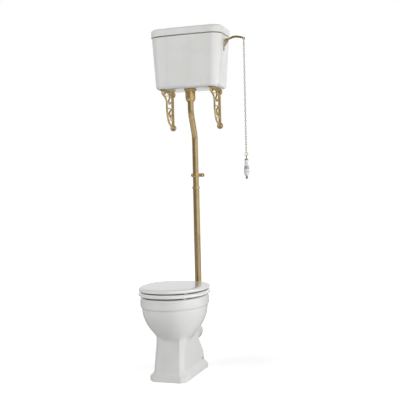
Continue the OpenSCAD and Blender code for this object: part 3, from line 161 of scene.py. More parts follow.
# Inside of the foot from the top of the hollow down, then the plinth's moulding
# and the shaft, which swells into the bowl: the p-th root of bowl^p + shaft^p.
hollow_z = [192, 150, 90, 52, 46, 24, 8, 1.5, 0]
hollow_out = [0, 0, 0, 0, 3, 9.5, 9.5, 8.5, 7]
hollow = pedestal_reach(hollow_z, hollow_out, FOOT_WALL, PED_CHAMFER * 0.7)
step_z = [0, 0.6, 2, 4, 12, 20, 24.5, 26, 27.2, 28.6, 30.5, 33, 36, 38.5, 41.5, 45, 48, 51, 56]
step_out = np.array([0.9, 0.96, 0.99, 1, 1, 1, 1, 0.985, 0.955, 0.9, 0.8, 0.68, 0.53, 0.4,
                     0.27, 0.14, 0.06, 0.015, 0]) * PLINTH_OUT
moulding = pedestal_reach(step_z, step_out)
rise_z = np.concatenate([np.linspace(66, 176, 9), np.linspace(184, 262, 32),
                         np.linspace(268, 372, 22)])
rise = (bowl_reach(0, draw_in(rise_z)) ** SWELL_POWER
        + pedestal_reach(rise_z, 0) ** SWELL_POWER) ** (1 / SWELL_POWER)
# Groove under the band, band, deck and rim, then over the rim and down inside
# it and back under it: [height, inset, share drawn in, deck's stand-out].
edge = np.array([
    [375.5, 0.8, 0.08, 0], [377.5, 2.2, 0.045, 0], [379, 3, 0.015, 0], [380.3, 3, 0, 2],
    [381.2, 2.8, 0, 14], [381.6, 2.6, 0, 30], [382, 2.2, 0, 40], [382.8, 1.5, 0, DECK_OUT],
    [384, 0.8, 0, DECK_OUT], [386, 0.2, 0, DECK_OUT], [389, 0, 0, DECK_OUT],
    [405, 0, 0, DECK_OUT], [421, 0, 0, DECK_OUT], [425, 0.3, 0, DECK_OUT],
    [428, 1.3, 0, DECK_OUT], [430.2, 3, 0, DECK_OUT], [431.5, 5.4, 0, DECK_OUT],
    [432, 9, 0, DECK_OUT], [432, 20, 0, 26], [432, 34, 0, 0], [431.6, 37, 0, 0],
    [430.4, 40.5, 0, 0], [428.5, 42.8, 0, 0], [425.5, 44, 0, 0], [415, 44, 0, 0],
    [407, 44, 0, 0], [404, 43.4, 0, 0], [402, 41.8, 0, 0], [401, 39, 0, 0],
    [399.6, 30, 0, 0], [398.4, 22, 0, 0], [396, 17, 0, 0], [391, 14.5, 0, 0],
    [383, 12.8, 0.02, 0]])
edge_reach = bowl_reach(*edge[:, 1:].T)
inner_z = np.linspace(372, 214, 28)
inner = bowl_reach(BOWL_WALL, draw_in(inner_z), 0.0, steep(inner_z))
bowl_rings = rings_at(
    PAN_ANGLES, np.concatenate([hollow, moulding, rise, edge_reach, inner]),
    np.concatenate([hollow_z, step_z, rise_z, edge[:, 0], inner_z]), RIM_MID)
# Throat: [height, half width, reach in front, reach behind].
throat = np.array([[203, 63, 69, 62], [192, 50, 55, 51], [180, 42, 48, 44],
                   [158, 36, 38, 37], [140, 34, 34, 34]])
well = egg_reach(PAN_ANGLES, *throat[:, 1:].T[:, :, None], 2.0, 2.0)
well_rings = rings_at(PAN_ANGLES, well, throat[:, 0], LEG_D)


def grid_faces(m, n, wrap_rows, first):
    """Quads between neighbours of an m by n grid whose columns close round, and
    whose last row closes on the first where told."""
    i = np.arange(m if wrap_rows else m - 1)[:, None]
    j = np.arange(n)[None, :]
    below, beside = (i + 1) % m, (j + 1) % n
    quads = np.broadcast_arrays(i * n + j, i * n + beside, below * n + beside, below * n + j)
    return first + np.stack(quads, -1).reshape(-1, 4)


CREASE = 40.0


def piece(name, body, skins, stands_for=()):
    """One mesh out of grids. A skin is (points, wrap rows, cap ends): the columns
    always close round, and a capped end closes on its middle point. Faces that
    meet by more than the crease angle keep a sharp edge between them."""
    points, faces, count = [], [], 0
    for grid, wrap_rows, capped in skins:
        m, n = grid.shape[:2]
        first, count = count, count + m * n
        points.append(grid.reshape(-1, 3))
        faces += grid_faces(m, n, wrap_rows, first).tolist()
        for row, turn in ((0, 1), (m - 1, -1)) if capped else ():
            points.append(grid[row].mean(0)[None])
            ring = first + row * n + np.arange(n)
            fan = [np.full(n, count), np.roll(ring, -1), ring][::turn]
            faces += np.stack(fan, -1).tolist()
            count += 1
    mesh = bpy.data.meshes.new(name)
    mesh.from_pydata((np.concatenate(points) / 1000).tolist(), [], faces)
    outward = bmesh.new()
    outward.from_mesh(mesh)
    bmesh.ops.recalc_face_normals(outward, faces=outward.faces)
    outward.to_mesh(mesh)
    outward.free()
    mesh.polygons.foreach_set("use_smooth", np.ones(len(mesh.polygons), bool))
    mesh.set_sharp_from_angle(angle=math.radians(CREASE))
    made = bpy.data.objects.new(name, mesh)
    bpy.context.scene.collection.objects.link(made)
    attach(made, body)
    if stands_for:
        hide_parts(*stands_for)
    return made


def round_angles(n):
    """n even angles all round."""
    return np.linspace(0, 2 * np.pi, n, endpoint=False)


def along(path, radius, angles):
    """Round tube: a circle of the given radius (one, or one for each point) carried
    square to a path of [depth from the wall, height] in the middle plane."""
    p = np.asarray(path, float)
    d = np.gradient(p, axis=0)
    d /= np.linalg.norm(d, axis=1)[:, None]
    t = angles[None, :]
    r = np.broadcast_to(np.asarray(radius, float), len(p))[:, None]
    depth = p[:, :1] + r * np.sin(t) * d[:, 1:]
    z = p[:, 1:] - r * np.sin(t) * d[:, :1]
    return np.stack([r * np.cos(t), y_at(depth), z], -1)


def turn(centre, radius, start, end, steps=14):
    """Points of an arc in the middle plane, angles in degrees."""
    a = np.radians(np.linspace(start, end, steps + 1))
    return np.stack([centre[0] + radius * np.cos(a), centre[1] + radius * np.sin(a)], -1)


# The trap: one way inside, down the leg, round under the dip and over the
# arch to the spigot, and the china round it on the way back. Its rows at the
# spigot are [depth, radius].
TRAP_BORE, TRAP_SHELL = 34.0, 44.0
BEND_R, BEND_Z = 47.0, 97.0
SPIGOT_Z, SPIGOT_END = 190.0, 121.0
trap_turns = np.concatenate([
    turn((LEG_D - BEND_R, BEND_Z), BEND_R, 0, -180),
    turn((LEG_D - 3 * BEND_R, SPIGOT_Z - BEND_R), BEND_R, 0, 90, 10)])


def trap_way(top_z, radius, ends):
    """Tube down from a height through the trap's turns, then level out to the
    spigot through ends of [depth, radius]."""
    depth, end_radius = np.transpose(ends)
    path = np.concatenate([[[LEG_D, top_z]], trap_turns,
                           np.column_stack([depth, np.full(len(depth), SPIGOT_Z)])])
    radii = np.concatenate([np.full(1 + len(trap_turns), radius), end_radius])
    return along(path, radii, PAN_ANGLES)


bore = trap_way(125, TRAP_BORE, [[236, 34], [234.7, 34], [234.7, 42], [124, 42],
                                 [SPIGOT_END + 0.8, 42.6], [SPIGOT_END, 44.6]])
shell = trap_way(hollow_z[0], TRAP_SHELL, [[242, 44], [240.7, 44], [240.7, 51], [124, 51],
                                           [SPIGOT_END + 0.8, 50.2], [SPIGOT_END, 48.6]])
# The horn that the flush pipe enters: a short level pipe towards the wall, with
# rows of [depth, radius] along its outside, round its mouth and back inside.
HORN_Z, HORN_MOUTH = 388.0, 160.0
horn_depth, horn_r = np.transpose([
    [240, 27], [163, 27], [161, 26.2], [HORN_MOUTH, 25], [HORN_MOUTH, 23], [161, 21.6],
    [163, 21], [240, 21]])
horn = along(np.column_stack([horn_depth, np.full(len(horn_depth), HORN_Z)]), horn_r,
             round_angles(40))
horn[horn_depth == HORN_MOUTH, :, 1] = y_at(HORN_MOUTH)
pan = piece("pan_china", "suite",
            [(np.concatenate([bowl_rings, well_rings, bore, shell[::-1]]), True, False),
             (horn, True, False)], ["pan"])


def linear(hex_code):
    """sRGB hex, as a designer writes it, to the linear colour that Blender keeps."""
    c = np.array([int(hex_code[i : i + 2], 16) for i in (1, 3, 5)]) / 255
    c = np.where(c <= 0.04045, c / 12.92, ((c + 0.055) / 1.055) ** 2.4)
    return (*c.tolist(), 1.0)


def add_node(tree, kind, settings=(), links=()):
    """One node with its settings: a number or a colour goes on a socket, anything
    else on the node. links are (input name, (node, output name))."""
    node = tree.nodes.new(kind)
    for key, value in dict(settings).items():
        if key in node.inputs:
            node.inputs[key].default_value = value
        else:
            setattr(node, key, value)
    for key, (source, output) in dict(links).items():
        tree.links.new(source.outputs[output], node.inputs[key])
    return node


def new_material(name, **sockets):
    """Material with its shader's plain numbers set on the shader itself."""
    material = bpy.data.materials.new(name)
    material.use_nodes = True
    tree = material.node_tree
    shader = tree.nodes["Principled BSDF"]
    for key, value in sockets.items():
        shader.inputs[key.replace("_", " ")].default_value = value
    place = add_node(tree, "ShaderNodeTexCoord")
    return material, tree, shader, place


# Glazed vitreous china. The glaze is a clear glass coat about 0.3 mm thick
# over a white body: sharp reflections, a body that is a little warm where
# the glaze lies thicker, and a slow orange-peel of some 25 mm.
china, tree, shader, place = new_material(
    "glazed_vitreous_china", Roughness=0.32, IOR=1.5, Coat_Weight=1.0, Coat_Roughness=0.04,
    Coat_IOR=1.52)
cloud = add_node(tree, "ShaderNodeTexNoise", {"Scale": 9.0, "Detail": 3.0},
                 {"Vector": (place, "Object")})
tint = add_node(tree, "ShaderNodeValToRGB", (), {"Fac": (cloud, "Fac")})
tint.color_ramp.elements[0].position = 0.3
tint.color_ramp.elements[0].color = linear("#E5E5E2")
tint.color_ramp.elements[1].position = 0.75
tint.color_ramp.elements[1].color = linear("#ECECEA")
tree.links.new(tint.outputs["Color"], shader.inputs["Base Color"])
peel = add_node(tree, "ShaderNodeTexNoise", {"Scale": 40.0, "Detail": 1.0},
                {"Vector": (place, "Object")})
ripple = add_node(tree, "ShaderNodeBump", {"Strength": 0.06, "Distance": 0.002},
                  {"Height": (peel, "Fac")})
tree.links.new(ripple.outputs["Normal"], shader.inputs["Normal"])
tree.links.new(ripple.outputs["Normal"], shader.inputs["Coat Normal"])
pan.data.materials.append(china)


# ---- Floor fixings ------------------------------------------------------
# Nylon angle blocks are screwed to the floor first; the pan drops over
# them and a domed stainless screw with a nylon cup washer goes into each
# from the side of the foot.

# Natural nylon, moulded: off-white, satin and a little translucent, in faint
# clouds of some 3 mm.
nylon, tree, shader, place = new_material(
    "moulded_nylon", Roughness=0.5, IOR=1.53, Subsurface_Weight=0.1)
grain = add_node(tree, "ShaderNodeTexNoise", {"Scale": 300.0}, {"Vector": (place, "Object")})
shade = add_node(tree, "ShaderNodeValToRGB", (), {"Fac": (grain, "Fac")})
shade.color_ramp.elements[0].color = linear("#D9D7CF")
shade.color_ramp.elements[1].color = linear("#E6E4DD")
tree.links.new(shade.outputs["Color"], shader.inputs["Base Color"])

# Stainless steel, turned and tumbled: grey, in brighter and duller flecks of
# about 2 mm, which stand for finer tool marks that no render shows.
steel, tree, shader, place = new_material("turned_stainless_steel", Metallic=1.0)
marks = add_node(tree, "ShaderNodeTexNoise", {"Scale": 500.0, "Detail": 2.0},
                 {"Vector": (place, "Object")})
shade = add_node(tree, "ShaderNodeValToRGB", (), {"Fac": (marks, "Fac")})
shade.color_ramp.elements[0].color = linear("#A9A8A4")
shade.color_ramp.elements[1].color = linear("#C4C3C0")
rough = add_node(tree, "ShaderNodeMapRange", {"To Min": 0.2, "To Max": 0.38},
                 {"Value": (marks, "Fac")})
tree.links.new(shade.outputs["Color"], shader.inputs["Base Color"])
tree.links.new(rough.outputs["Result"], shader.inputs["Roughness"])


def finish_node(node, material, bevel=0.0):
    """A CAD node keeps its own mesh: its material slots are filled, and where a
    bevel is given its loose triangles are joined by a modifier and its arrises are
    eased by bevel mm."""
    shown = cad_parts[node]
    if not shown.data.materials:
        shown.data.materials.append(material)
    for slot in shown.material_slots:
        slot.material = material
    if bevel:
        weld = shown.modifiers.new("joined", "WELD")
        weld.merge_threshold = 0.00001
        ease = shown.modifiers.new("eased", "BEVEL")
        ease.width = bevel / 1000
        ease.segments = 2
        ease.limit_method = "ANGLE"
        ease.angle_limit = math.radians(38)


finish_node("floor_brackets", nylon)
finish_node("side_washers", nylon)
finish_node("side_screws", steel)


# ---- Seat and lid -------------------------------------------------------
# Moulded wood ring and lid, sprayed with white polyurethane lacquer and
# polished, so they reflect the pipe behind. Soft buffers hold the ring off
# the pan and the lid off the ring, and both swing on one brass bar.

SEAT_HALF, SEAT_MID, SEAT_FRONT_SEMI, SEAT_BACK_SEMI = 181.0, 422.0, 224.0, 202.0
HOLE_HALF, HOLE_FRONT, HOLE_BACK = 111.0, 160.0, 118.0
SEAT_BACK_POWER, HOLE_BACK_POWER = 2.45, 2.2
SEAT_ANGLES = spread_angles(208, (), 1.0, 0.0)


def seat_rows(table):
    """Rings of seat or lid from rows of [height, inset from the outline]."""
    z, inset = np.transpose(table)
    inset = column(inset)
    reach = egg_reach(SEAT_ANGLES, SEAT_HALF - inset, SEAT_FRONT_SEMI - inset,
                      SEAT_BACK_SEMI - inset, EGG_POWER, SEAT_BACK_POWER)
    return rings_at(SEAT_ANGLES, reach, z, SEAT_MID)


def hole_rows(table):
    """Rings of the ring's hole from rows of [height, widening past its outline]."""
    z, wider = np.transpose(table)
    wider = column(wider)
    reach = egg_reach(SEAT_ANGLES, HOLE_HALF + wider, HOLE_FRONT + wider, HOLE_BACK + wider,
                      EGG_POWER, HOLE_BACK_POWER)
    return rings_at(SEAT_ANGLES, reach, z, SEAT_MID)


# The ring's underside is rebated 2 mm all round, which draws its dark line.
rim_side = seat_rows([[438, 19], [438.3, 17.6], [439.4, 16], [440, 14], [440.2, 6],
                      [440.6, 3.6], [441.8, 1.6], [444.5, 0.3], [448.5, 0], [452, 0.5],
                      [455, 1.9], [457.3, 4.3], [458.6, 7.2], [459, 11]])
hole_side = hole_rows([[458.8, 21], [457.8, 13.5], [456, 8.6], [453.2, 4.4], [449.5, 1.6],
                       [446, 0.3], [442.5, 0.1], [440, 1.3], [438.6, 3.2], [438, 6]])
blend = np.linspace(0.2, 0.8, 4)[:, None, None]
crown = rim_side[-1] * (1 - blend) + hole_side[0] * blend
seat = piece("seat_ring_wood", "seat",
             [(np.concatenate([rim_side, crown, hole_side]), True, False)], ["seat_ring"])
lid_edge = [[465, 14], [465, 8.5], [465.4, 6.4], [466.6, 4.2], [468.6, 2.8], [471.5, 2.1],
            [475, 2], [478, 2.6], [480.4, 4.2], [482.3, 7.0], [483.6, 11], [484.4, 16.5],
            [484.9, 26], [485.3, 42], [485.7, 64], [485.9, 90], [486, 120], [486, 150]]
lid = piece("seat_lid_wood", "seat_cover", [(seat_rows(lid_edge), False, True)], ["seat_lid"])

# White gloss lacquer on moulded wood: sprayed and cut back, so the surface is
# flat and bright, with a spray ripple of about 4 mm that is hardly to be seen.
lacquer, tree, shader, place = new_material(
    "white_gloss_lacquer", Roughness=0.3, IOR=1.48, Coat_Weight=1.0, Coat_Roughness=0.03,
    Coat_IOR=1.5)
cloud = add_node(tree, "ShaderNodeTexNoise", {"Scale": 14.0, "Detail": 2.0},
                 {"Vector": (place, "Object")})
tint = add_node(tree, "ShaderNodeValToRGB", (), {"Fac": (cloud, "Fac")})
tint.color_ramp.elements[0].color = linear("#F0F0EE")
tint.color_ramp.elements[1].color = linear("#F5F5F4")
tree.links.new(tint.outputs["Color"], shader.inputs["Base Color"])
spray = add_node(tree, "ShaderNodeTexNoise", {"Scale": 260.0}, {"Vector": (place, "Object")})
ripple = add_node(tree, "ShaderNodeBump", {"Strength": 0.03, "Distance": 0.0005},
                  {"Height": (spray, "Fac")})
tree.links.new(ripple.outputs["Normal"], shader.inputs["Coat Normal"])
for made in (seat, lid):
    made.data.materials.append(lacquer)


def rubber(name, dark, pale):
    """Moulded rubber: matt, its skin faintly mottled with talc in patches of some
    6 mm, between two colours. It is off-white on the buffers, black on the seals."""
    made, tree, shader, place = new_material(name, Roughness=0.62, IOR=1.52)
    dust = add_node(tree, "ShaderNodeTexNoise", {"Scale": 180.0, "Detail": 4.0},
                    {"Vector": (place, "Object")})
    shade = add_node(tree, "ShaderNodeValToRGB", (), {"Fac": (dust, "Fac")})
    shade.color_ramp.elements[0].color = linear(dark)
    shade.color_ramp.elements[1].color = linear(pale)
    tree.links.new(shade.outputs["Color"], shader.inputs["Base Color"])
    return made


pale_rubber = rubber("white_moulded_rubber", "#CFCDC6", "#DEDCD5")
black_rubber = rubber("black_moulded_rubber", "#161616", "#242423")
for node in ("seat_buffers", "lid_buffers"):
    finish_node(node, pale_rubber)


# ---- Seat hinge ---------------------------------------------------------
# Two brass pillars on studs through the deck carry a fixed bar; the straps
# of seat and lid are turned knuckles with leaves screwed to the wood.

def polished_brass(name, dark, pale, smooth, dull):
    """Yellow brass (about 70 copper to 30 zinc): slow clouds of some 60 mm where it
    has tarnished between two colours, and marks of the polishing mop, drawn as
    coarse as 4 mm so that they show, between two roughnesses."""
    made, tree, shader, place = new_material(name, Metallic=1.0)
    tarnish = add_node(tree, "ShaderNodeTexNoise", {"Scale": 16.0, "Detail": 5.0},
                       {"Vector": (place, "Object")})
    shade = add_node(tree, "ShaderNodeValToRGB", (), {"Fac": (tarnish, "Fac")})
    shade.color_ramp.elements[0].position = 0.3
    shade.color_ramp.elements[0].color = linear(dark)
    shade.color_ramp.elements[1].position = 0.7
    shade.color_ramp.elements[1].color = linear(pale)
    tree.links.new(shade.outputs["Color"], shader.inputs["Base Color"])
    mop = add_node(tree, "ShaderNodeTexNoise", {"Scale": 240.0, "Detail": 3.0},
                   {"Vector": (place, "Object")})
    rough = add_node(tree, "ShaderNodeMapRange", {"To Min": smooth, "To Max": dull},
                     {"Value": (mop, "Fac")})
    tree.links.new(rough.outputs["Result"], shader.inputs["Roughness"])
    return made, tree, shader, place


# Under fresh lacquer, so it is still bright and yellow.
brass = polished_brass("lacquered_brass", "#D6B77A", "#E7CD96", 0.24, 0.3)[0]
for node in ("hinge_pillars", "hinge_bar", "hinge_studs", "hinge_nuts",
             "seat_strap_screws", "lid_strap_screws"):
    finish_node(node, brass)
for node in ("seat_straps", "lid_straps"):
    finish_node(node, brass, 0.4)
finish_node("hinge_washers", black_rubber)


# ---- Cistern and its lid ------------------------------------------------
# Two more castings in the same china: a tub with leaning ends, a raised
# middle panel and a rounded keel, and a deep loose lid over a shadow gap.

TANK_BASE = 1558.0
TANK_W, TANK_D, TANK_H = 420.0, 190.0, 297.0
END_LEAN, FRONT_LEAN = 22.0, 6.0
CORNER_R, CORNER_TAPER = 62.0, 16.0
PANEL_OUT, PANEL_HALF, PANEL_SWEEP, PANEL_START = 4.0, 100.0, 2.2, 0.3
WALL_T = 11.0
# The soft corner at the back: [in from the end, out from the back].
BACK_CORNER = np.array([[0, -6], [-1.2, -2.6], [-3.2, -0.8], [-6, 0]])


def plan_ring(z, half, depth, corner, back, panel):
    """Plan of tub or lid at one height: flat back with small soft corners, quarter
    circles in front, and a middle panel that steps forward by the S 3s^2 - 2s^3."""
    a = np.radians(np.linspace(-90, 0, 25))
    right = np.column_stack([half - corner + corner * np.cos(a),
                             -depth + corner + corner * np.sin(a)])
    s = np.linspace(0, 1, 9)
    ease = s * s * (3 - 2 * s)
    step = np.column_stack([panel + PANEL_SWEEP - PANEL_SWEEP * s,
                            -depth - PANEL_START - (PANEL_OUT - PANEL_START) * ease])
    mirror = np.array([-1, 1])
    back_right = np.array([half, -back]) + BACK_CORNER
    flat = np.concatenate([step * mirror, step[::-1], right, back_right,
                           back_right[::-1] * mirror, right[::-1] * mirror])
    return np.column_stack([flat[:, 0], flat[:, 1] + WALL_Y, np.full(len(flat), z)])


def tank_ring(z, inset, back=0.0):
    """Ring of the tub at a height above its base: ends, front and corner radius
    draw in evenly towards the base, ends and front by the inset too, and the back
    stands out by its own measure."""
    share = 1 - z / TANK_H
    return plan_ring(TANK_BASE + z, TANK_W / 2 - END_LEAN * share - inset,
                     TANK_D - FRONT_LEAN * share - inset,
                     CORNER_R - CORNER_TAPER * share - inset, back,
                     PANEL_HALF - inset / 2)


KEEL_R = 20.0
keel = [tank_ring(KEEL_R * (1 - math.cos(a)), KEEL_R * (1 - math.sin(a)))
        for a in np.linspace(0, math.pi / 2, 11)]
sides = [tank_ring(z, 0) for z in (60, 120, 180, 240, 288)]
NECK_Z, NECK_IN = 292.2, 6.5
# Over the shoulder to the neck under the lid: (height, inset).
neck = [tank_ring(z, i) for z, i in (
    (NECK_Z - 2, 0), (NECK_Z - 0.8, 0.5), (NECK_Z - 0.1, 1.6), (NECK_Z, NECK_IN),
    (TANK_H - 1, NECK_IN), (TANK_H, NECK_IN + 1), (TANK_H, WALL_T - 1.5), (TANK_H - 1, WALL_T))]
# Down the inside to the floor of the tub: (height, inset, out from the back).
inside = [tank_ring(z, i, b) for z, i, b in (
    (240, 11, 11), (120, 11, 11), (24, 11, 11), (18, 13.5, 12.5), (15, 18, 17), (14, 23, 20))]
tank = piece("cistern_tub_china", "suite",
             [(np.array(keel + sides + neck + inside), False, True)], ["cistern_tank"])

COVER_H, COVER_OVER, COVER_R = 42.0, 5.0, 13.0


def cover_ring(z, inset, back=0.0):
    """Ring of the lid at a height above the tub's top: upright sides that stand
    over the tub's, drawn in by the inset."""
    return plan_ring(TANK_BASE + TANK_H + z, TANK_W / 2 + COVER_OVER - inset,
                     TANK_D + COVER_OVER - inset, CORNER_R + COVER_OVER - inset, back,
                     PANEL_HALF - inset / 2)


top_edge = [cover_ring(COVER_H - COVER_R + COVER_R * math.sin(a),
                       COVER_R * (1 - math.cos(a)))
            for a in np.linspace(0, math.pi / 2, 10)]
# Its hollow, the tongue that drops into the tub, the flat that rests on the
# neck, then up the outside: (height, inset, out from the back).
cover_rings = [cover_ring(z, i, b) for z, i, b in (
    (27, 22, 20), (17, 10, 10), (10, 10, 10), (5, 25.5, 19.5), (-8, 25.5, 19.5),
    (-8, 19.5, 13.5), (-6, 18.5, 13.5), (0, 18.5, 13.5), (0, 3, 0), (0.4, 1.2, 0), (1.6, 0.2, 0),
    (4, 0, 0), (20, 0, 0))] + top_edge + [cover_ring(COVER_H, i) for i in (22, 40)]
cover = piece("cistern_cover_china", "cistern_cover",
              [(np.array(cover_rings), False, True)], ["cistern_lid"])
for made in (tank, cover):
    made.data.materials.append(china)


def face_heights(made):
    """Height in mm of the middle of each face of a piece."""
    middles = np.empty(len(made.data.polygons) * 3)
    made.data.polygons.foreach_get("center", middles)
    return middles[2::3] * 1000


# Painted shade on the neck: the neck that the lid stands on is left unglazed and matt,
# with a grog of about 1 mm, and its dark grey is painted shade for the gap under the lid.
neck_painted_shade, tree, shader, place = new_material("unglazed_neck_painted_shade", Roughness=0.85)
grog = add_node(tree, "ShaderNodeTexNoise", {"Scale": 900.0, "Detail": 2.0},
                {"Vector": (place, "Object")})
shade = add_node(tree, "ShaderNodeValToRGB", (), {"Fac": (grog, "Fac")})
shade.color_ramp.elements[0].color = linear("#7E7870")
shade.color_ramp.elements[1].color = linear("#8E8981")
tree.links.new(shade.outputs["Color"], shader.inputs["Base Color"])
tank.data.materials.append(neck_painted_shade)
# The neck's faces get the dark grey: painted shade for the shadow gap under the lid.
painted_shade_neck = face_heights(tank) > TANK_BASE + NECK_Z - 0.01
tank.data.polygons.foreach_set("material_index", painted_shade_neck.astype(np.int32))


# ---- Wall brackets ------------------------------------------------------
# Two open scrolled brackets cast in yellow brass from one pattern, with a
# broad top strip under the cistern and round wall pads drilled for screws.

# Cast in sand and only brushed: pale, and grained every 2 mm or so.
cast_brass, tree, shader, place = polished_brass(
    "cast_scroll_brass", "#E0C48A", "#F1DCAB", 0.34, 0.42)
sand = add_node(tree, "ShaderNodeTexNoise", {"Scale": 420.0, "Detail": 4.0},
                {"Vector": (place, "Object")})
grit = add_node(tree, "ShaderNodeBump", {"Strength": 0.18, "Distance": 0.0006},
                {"Height": (sand, "Fac")})
tree.links.new(grit.outputs["Normal"], shader.inputs["Normal"])
for node in ("bracket_left", "bracket_right"):
    finish_node(node, cast_brass, 0.9)
finish_node("bracket_strips", black_rubber)


# ---- Outlet, flush pipe and clip ----------------------------------------
# Brass tube in two lengths: the upper one hangs from the coupling nut, sets
# back to the wall and slides into the lower, which bends into the pan.

PIPE_R, PIPE_WALL, SET_R = 17.0, 36.0, 125.0
SET_ANGLE = 24.0
OUTLET_D = 95.0
PIPE_TOP = TANK_BASE - 42
SET_TOP = TANK_BASE - 104
back_off = OUTLET_D - PIPE_WALL
set_cos, set_sin = math.cos(math.radians(SET_ANGLE)), math.sin(math.radians(SET_ANGLE))
slope_len = (back_off - 2 * SET_R * (1 - set_cos)) / set_sin
set_low = SET_TOP - 2 * SET_R * set_sin - slope_len * set_cos
SLIP_Z, SLIP_IN = 996.0, 60.0
# The points at 1100 here and at 700 below lie on the straight, and keep each
# bend's first ring square to it.
upper_path = np.concatenate([
    [[PIPE_WALL, SLIP_Z - SLIP_IN], [PIPE_WALL, 1100]],
    turn((PIPE_WALL + SET_R, set_low), SET_R, 180, 180 - SET_ANGLE),
    turn((OUTLET_D - SET_R, SET_TOP), SET_R, -SET_ANGLE, 0),
    [[OUTLET_D, PIPE_TOP]]])
upper = piece("upper_flush_tube", "suite",
              [(along(upper_path, PIPE_R, round_angles(56)), False, True)], ["upper_pipe"])
SLIP_GAP, TUBE_WALL, FOOT_R, FOOT_END = 0.15, 1.2, 70.0, 182.0
MOUTH_DOWN, MOUTH_IN = 0.8, 0.5
lower_path = np.concatenate([
    [[FOOT_END, HORN_Z]], turn((PIPE_WALL + FOOT_R, HORN_Z + FOOT_R), FOOT_R, -90, -180, 20),
    [[PIPE_WALL, 700], [PIPE_WALL, SLIP_Z - MOUTH_DOWN], [PIPE_WALL, SLIP_Z]]])
lower_r = np.full(len(lower_path), PIPE_R + SLIP_GAP + TUBE_WALL)
lower_r[-1] -= MOUTH_IN
lower = piece("lower_flush_tube", "suite",
              [(along(lower_path, lower_r, round_angles(56)), False, True)], ["lower_pipe"])
# Drawn tube: smooth and even, its yellow a little greyed by steam and handling.
tube_brass, tree, shader, place = polished_brass(
    "drawn_tube_brass", "#C6AE7E", "#D2BA8B", 0.24, 0.28)
for made in (upper, lower):
    made.data.materials.append(tube_brass)
for node in ("outlet_nut", "coupling_nut", "slip_collar"):
    finish_node(node, brass)
finish_node("pipe_clip", brass, 0.4)
for node in ("outlet_washer", "slip_seal", "flush_cone"):
    finish_node(node, black_rubber)


# ---- Inside the cistern -------------------------------------------------
# A moulded siphon with its lift rod, and a brass float valve with a hollow
# ball, held through the wall by back nuts, as such cisterns have.


def moulded_plastic(name, rough, scale, dark, pale):
    """Injection-moulded plastic: satin, with slow clouds of lime haze, 1000 / scale
    mm across, between two colours."""
    made, tree, shader, place = new_material(name, Roughness=rough, IOR=1.5)
    haze = add_node(tree, "ShaderNodeTexNoise", {"Scale": scale}, {"Vector": (place, "Object")})
    shade = add_node(tree, "ShaderNodeValToRGB", (), {"Fac": (haze, "Fac")})
    shade.color_ramp.elements[0].color = linear(dark)
    shade.color_ramp.elements[1].color = linear(pale)
    tree.links.new(shade.outputs["Color"], shader.inputs["Base Color"])
    return made


# Off-white for the siphon and the overflow, orange for the float.
plastic = moulded_plastic("moulded_siphon_plastic", 0.42, 60.0, "#C9C9C4", "#D8D8D3")
orange = moulded_plastic("moulded_float_plastic", 0.36, 50.0, "#C4552A", "#D2632F")
for node in ("siphon_body", "overflow_tail", "overflow_nut"):
    finish_node(node, plastic)
finish_node("float_ball", orange)
for node in ("siphon_rod", "float_pin", "valve_piston"):
    finish_node(node, steel)
for node in ("lift_link", "valve_body", "valve_backnut", "float_lever"):
    finish_node(node, brass)
for node in ("siphon_seal", "siphon_diaphragm", "valve_washers", "overflow_washer"):
    finish_node(node, black_rubber)


# ---- Lever, chain and handle --------------------------------------------
# A cast brass lever turns on a pin between two ears of a plate bolted to
# the end of the cistern. An S hook, a long-link chain and a split ring
# carry a turned china handle between a brass cap and a ball finial.

PIVOT_BESIDE, PIVOT_BELOW = 14.51, 34.26
PIVOT_X, PIVOT_Z = TANK_W / 2 + PIVOT_BESIDE, TANK_BASE + TANK_H - PIVOT_BELOW
LEVER_OUT, LEVER_IN, BAR_DROP = 97.0, 165.0, 4.3
HUB_R, HUB_HALF, PIN_HOLE = 7.5, 6.5, 3.2
EYE_R, EYE_HALF, EYE_HOLE = 7.8, 2.0, 4.0


def across(grid, x, z):
    """A tube made in the middle plane, turned to run along the wall from a place:
    what ran out from the wall there runs to the right here."""
    return np.stack([x + WALL_Y - grid[..., 1], y_at(OUTLET_D) + grid[..., 0],
                     z + grid[..., 2]], -1)


def collar(outer, hole, half, soft, x, z):
    """Ring with a hole round an axis along Y, its outer edges cut back by soft."""
    t = round_angles(48)[None, :]
    r = column([hole, outer - soft, outer, outer, outer - soft, hole])
    y = column([-half, -half, soft - half, half - soft, half, half])
    return np.stack([x + r * np.cos(t), y_at(OUTLET_D) + y + 0 * t, z + r * np.sin(t)], -1)


# The arm rises from the hub, cranks over a soft knee and droops to the hook;
# rows are [out from the pivot, up, radius]. The bar inside ends in a ball.
arm = np.array([[6, 2.2, 4.6], [14, 5.6, 5.4], [24, 9, 6], [34, 11.8, 6.2], [42, 13.2, 6.2],
                [50, 13.4, 6.2], [58, 12.4, 6.2], [70, 10, 6], [82, 7.2, 5.8], [88, 5.6, 5],
                [91.5, 4.6, 3.2]])
drop = math.radians(BAR_DROP)
bar_run = np.array([[5, 4.5], [60, 4.5], [110, 4.5], [LEVER_IN - 5, 4.5], [LEVER_IN - 3.6, 4.7],
                    [LEVER_IN - 2, 5.4], [LEVER_IN, 5.7], [LEVER_IN + 2.4, 5.1],
                    [LEVER_IN + 4.4, 3.6], [LEVER_IN + 5.6, 1.2]])
bar = np.column_stack([-bar_run[:, 0] * math.cos(drop), -bar_run[:, 0] * math.sin(drop)])
lever = piece("lever_brass", "lever", [
    (across(along(arm[:, :2], arm[:, 2], round_angles(32)), PIVOT_X, PIVOT_Z), False, True),
    (across(along(bar, bar_run[:, 1], round_angles(32)), PIVOT_X, PIVOT_Z), False, True),
    (collar(HUB_R, PIN_HOLE, HUB_HALF, 0.8, PIVOT_X, PIVOT_Z), True, False),
    (collar(EYE_R, EYE_HOLE, EYE_HALF, 0.7, PIVOT_X + LEVER_OUT, PIVOT_Z), True, False)],
    ["lever_arm"])
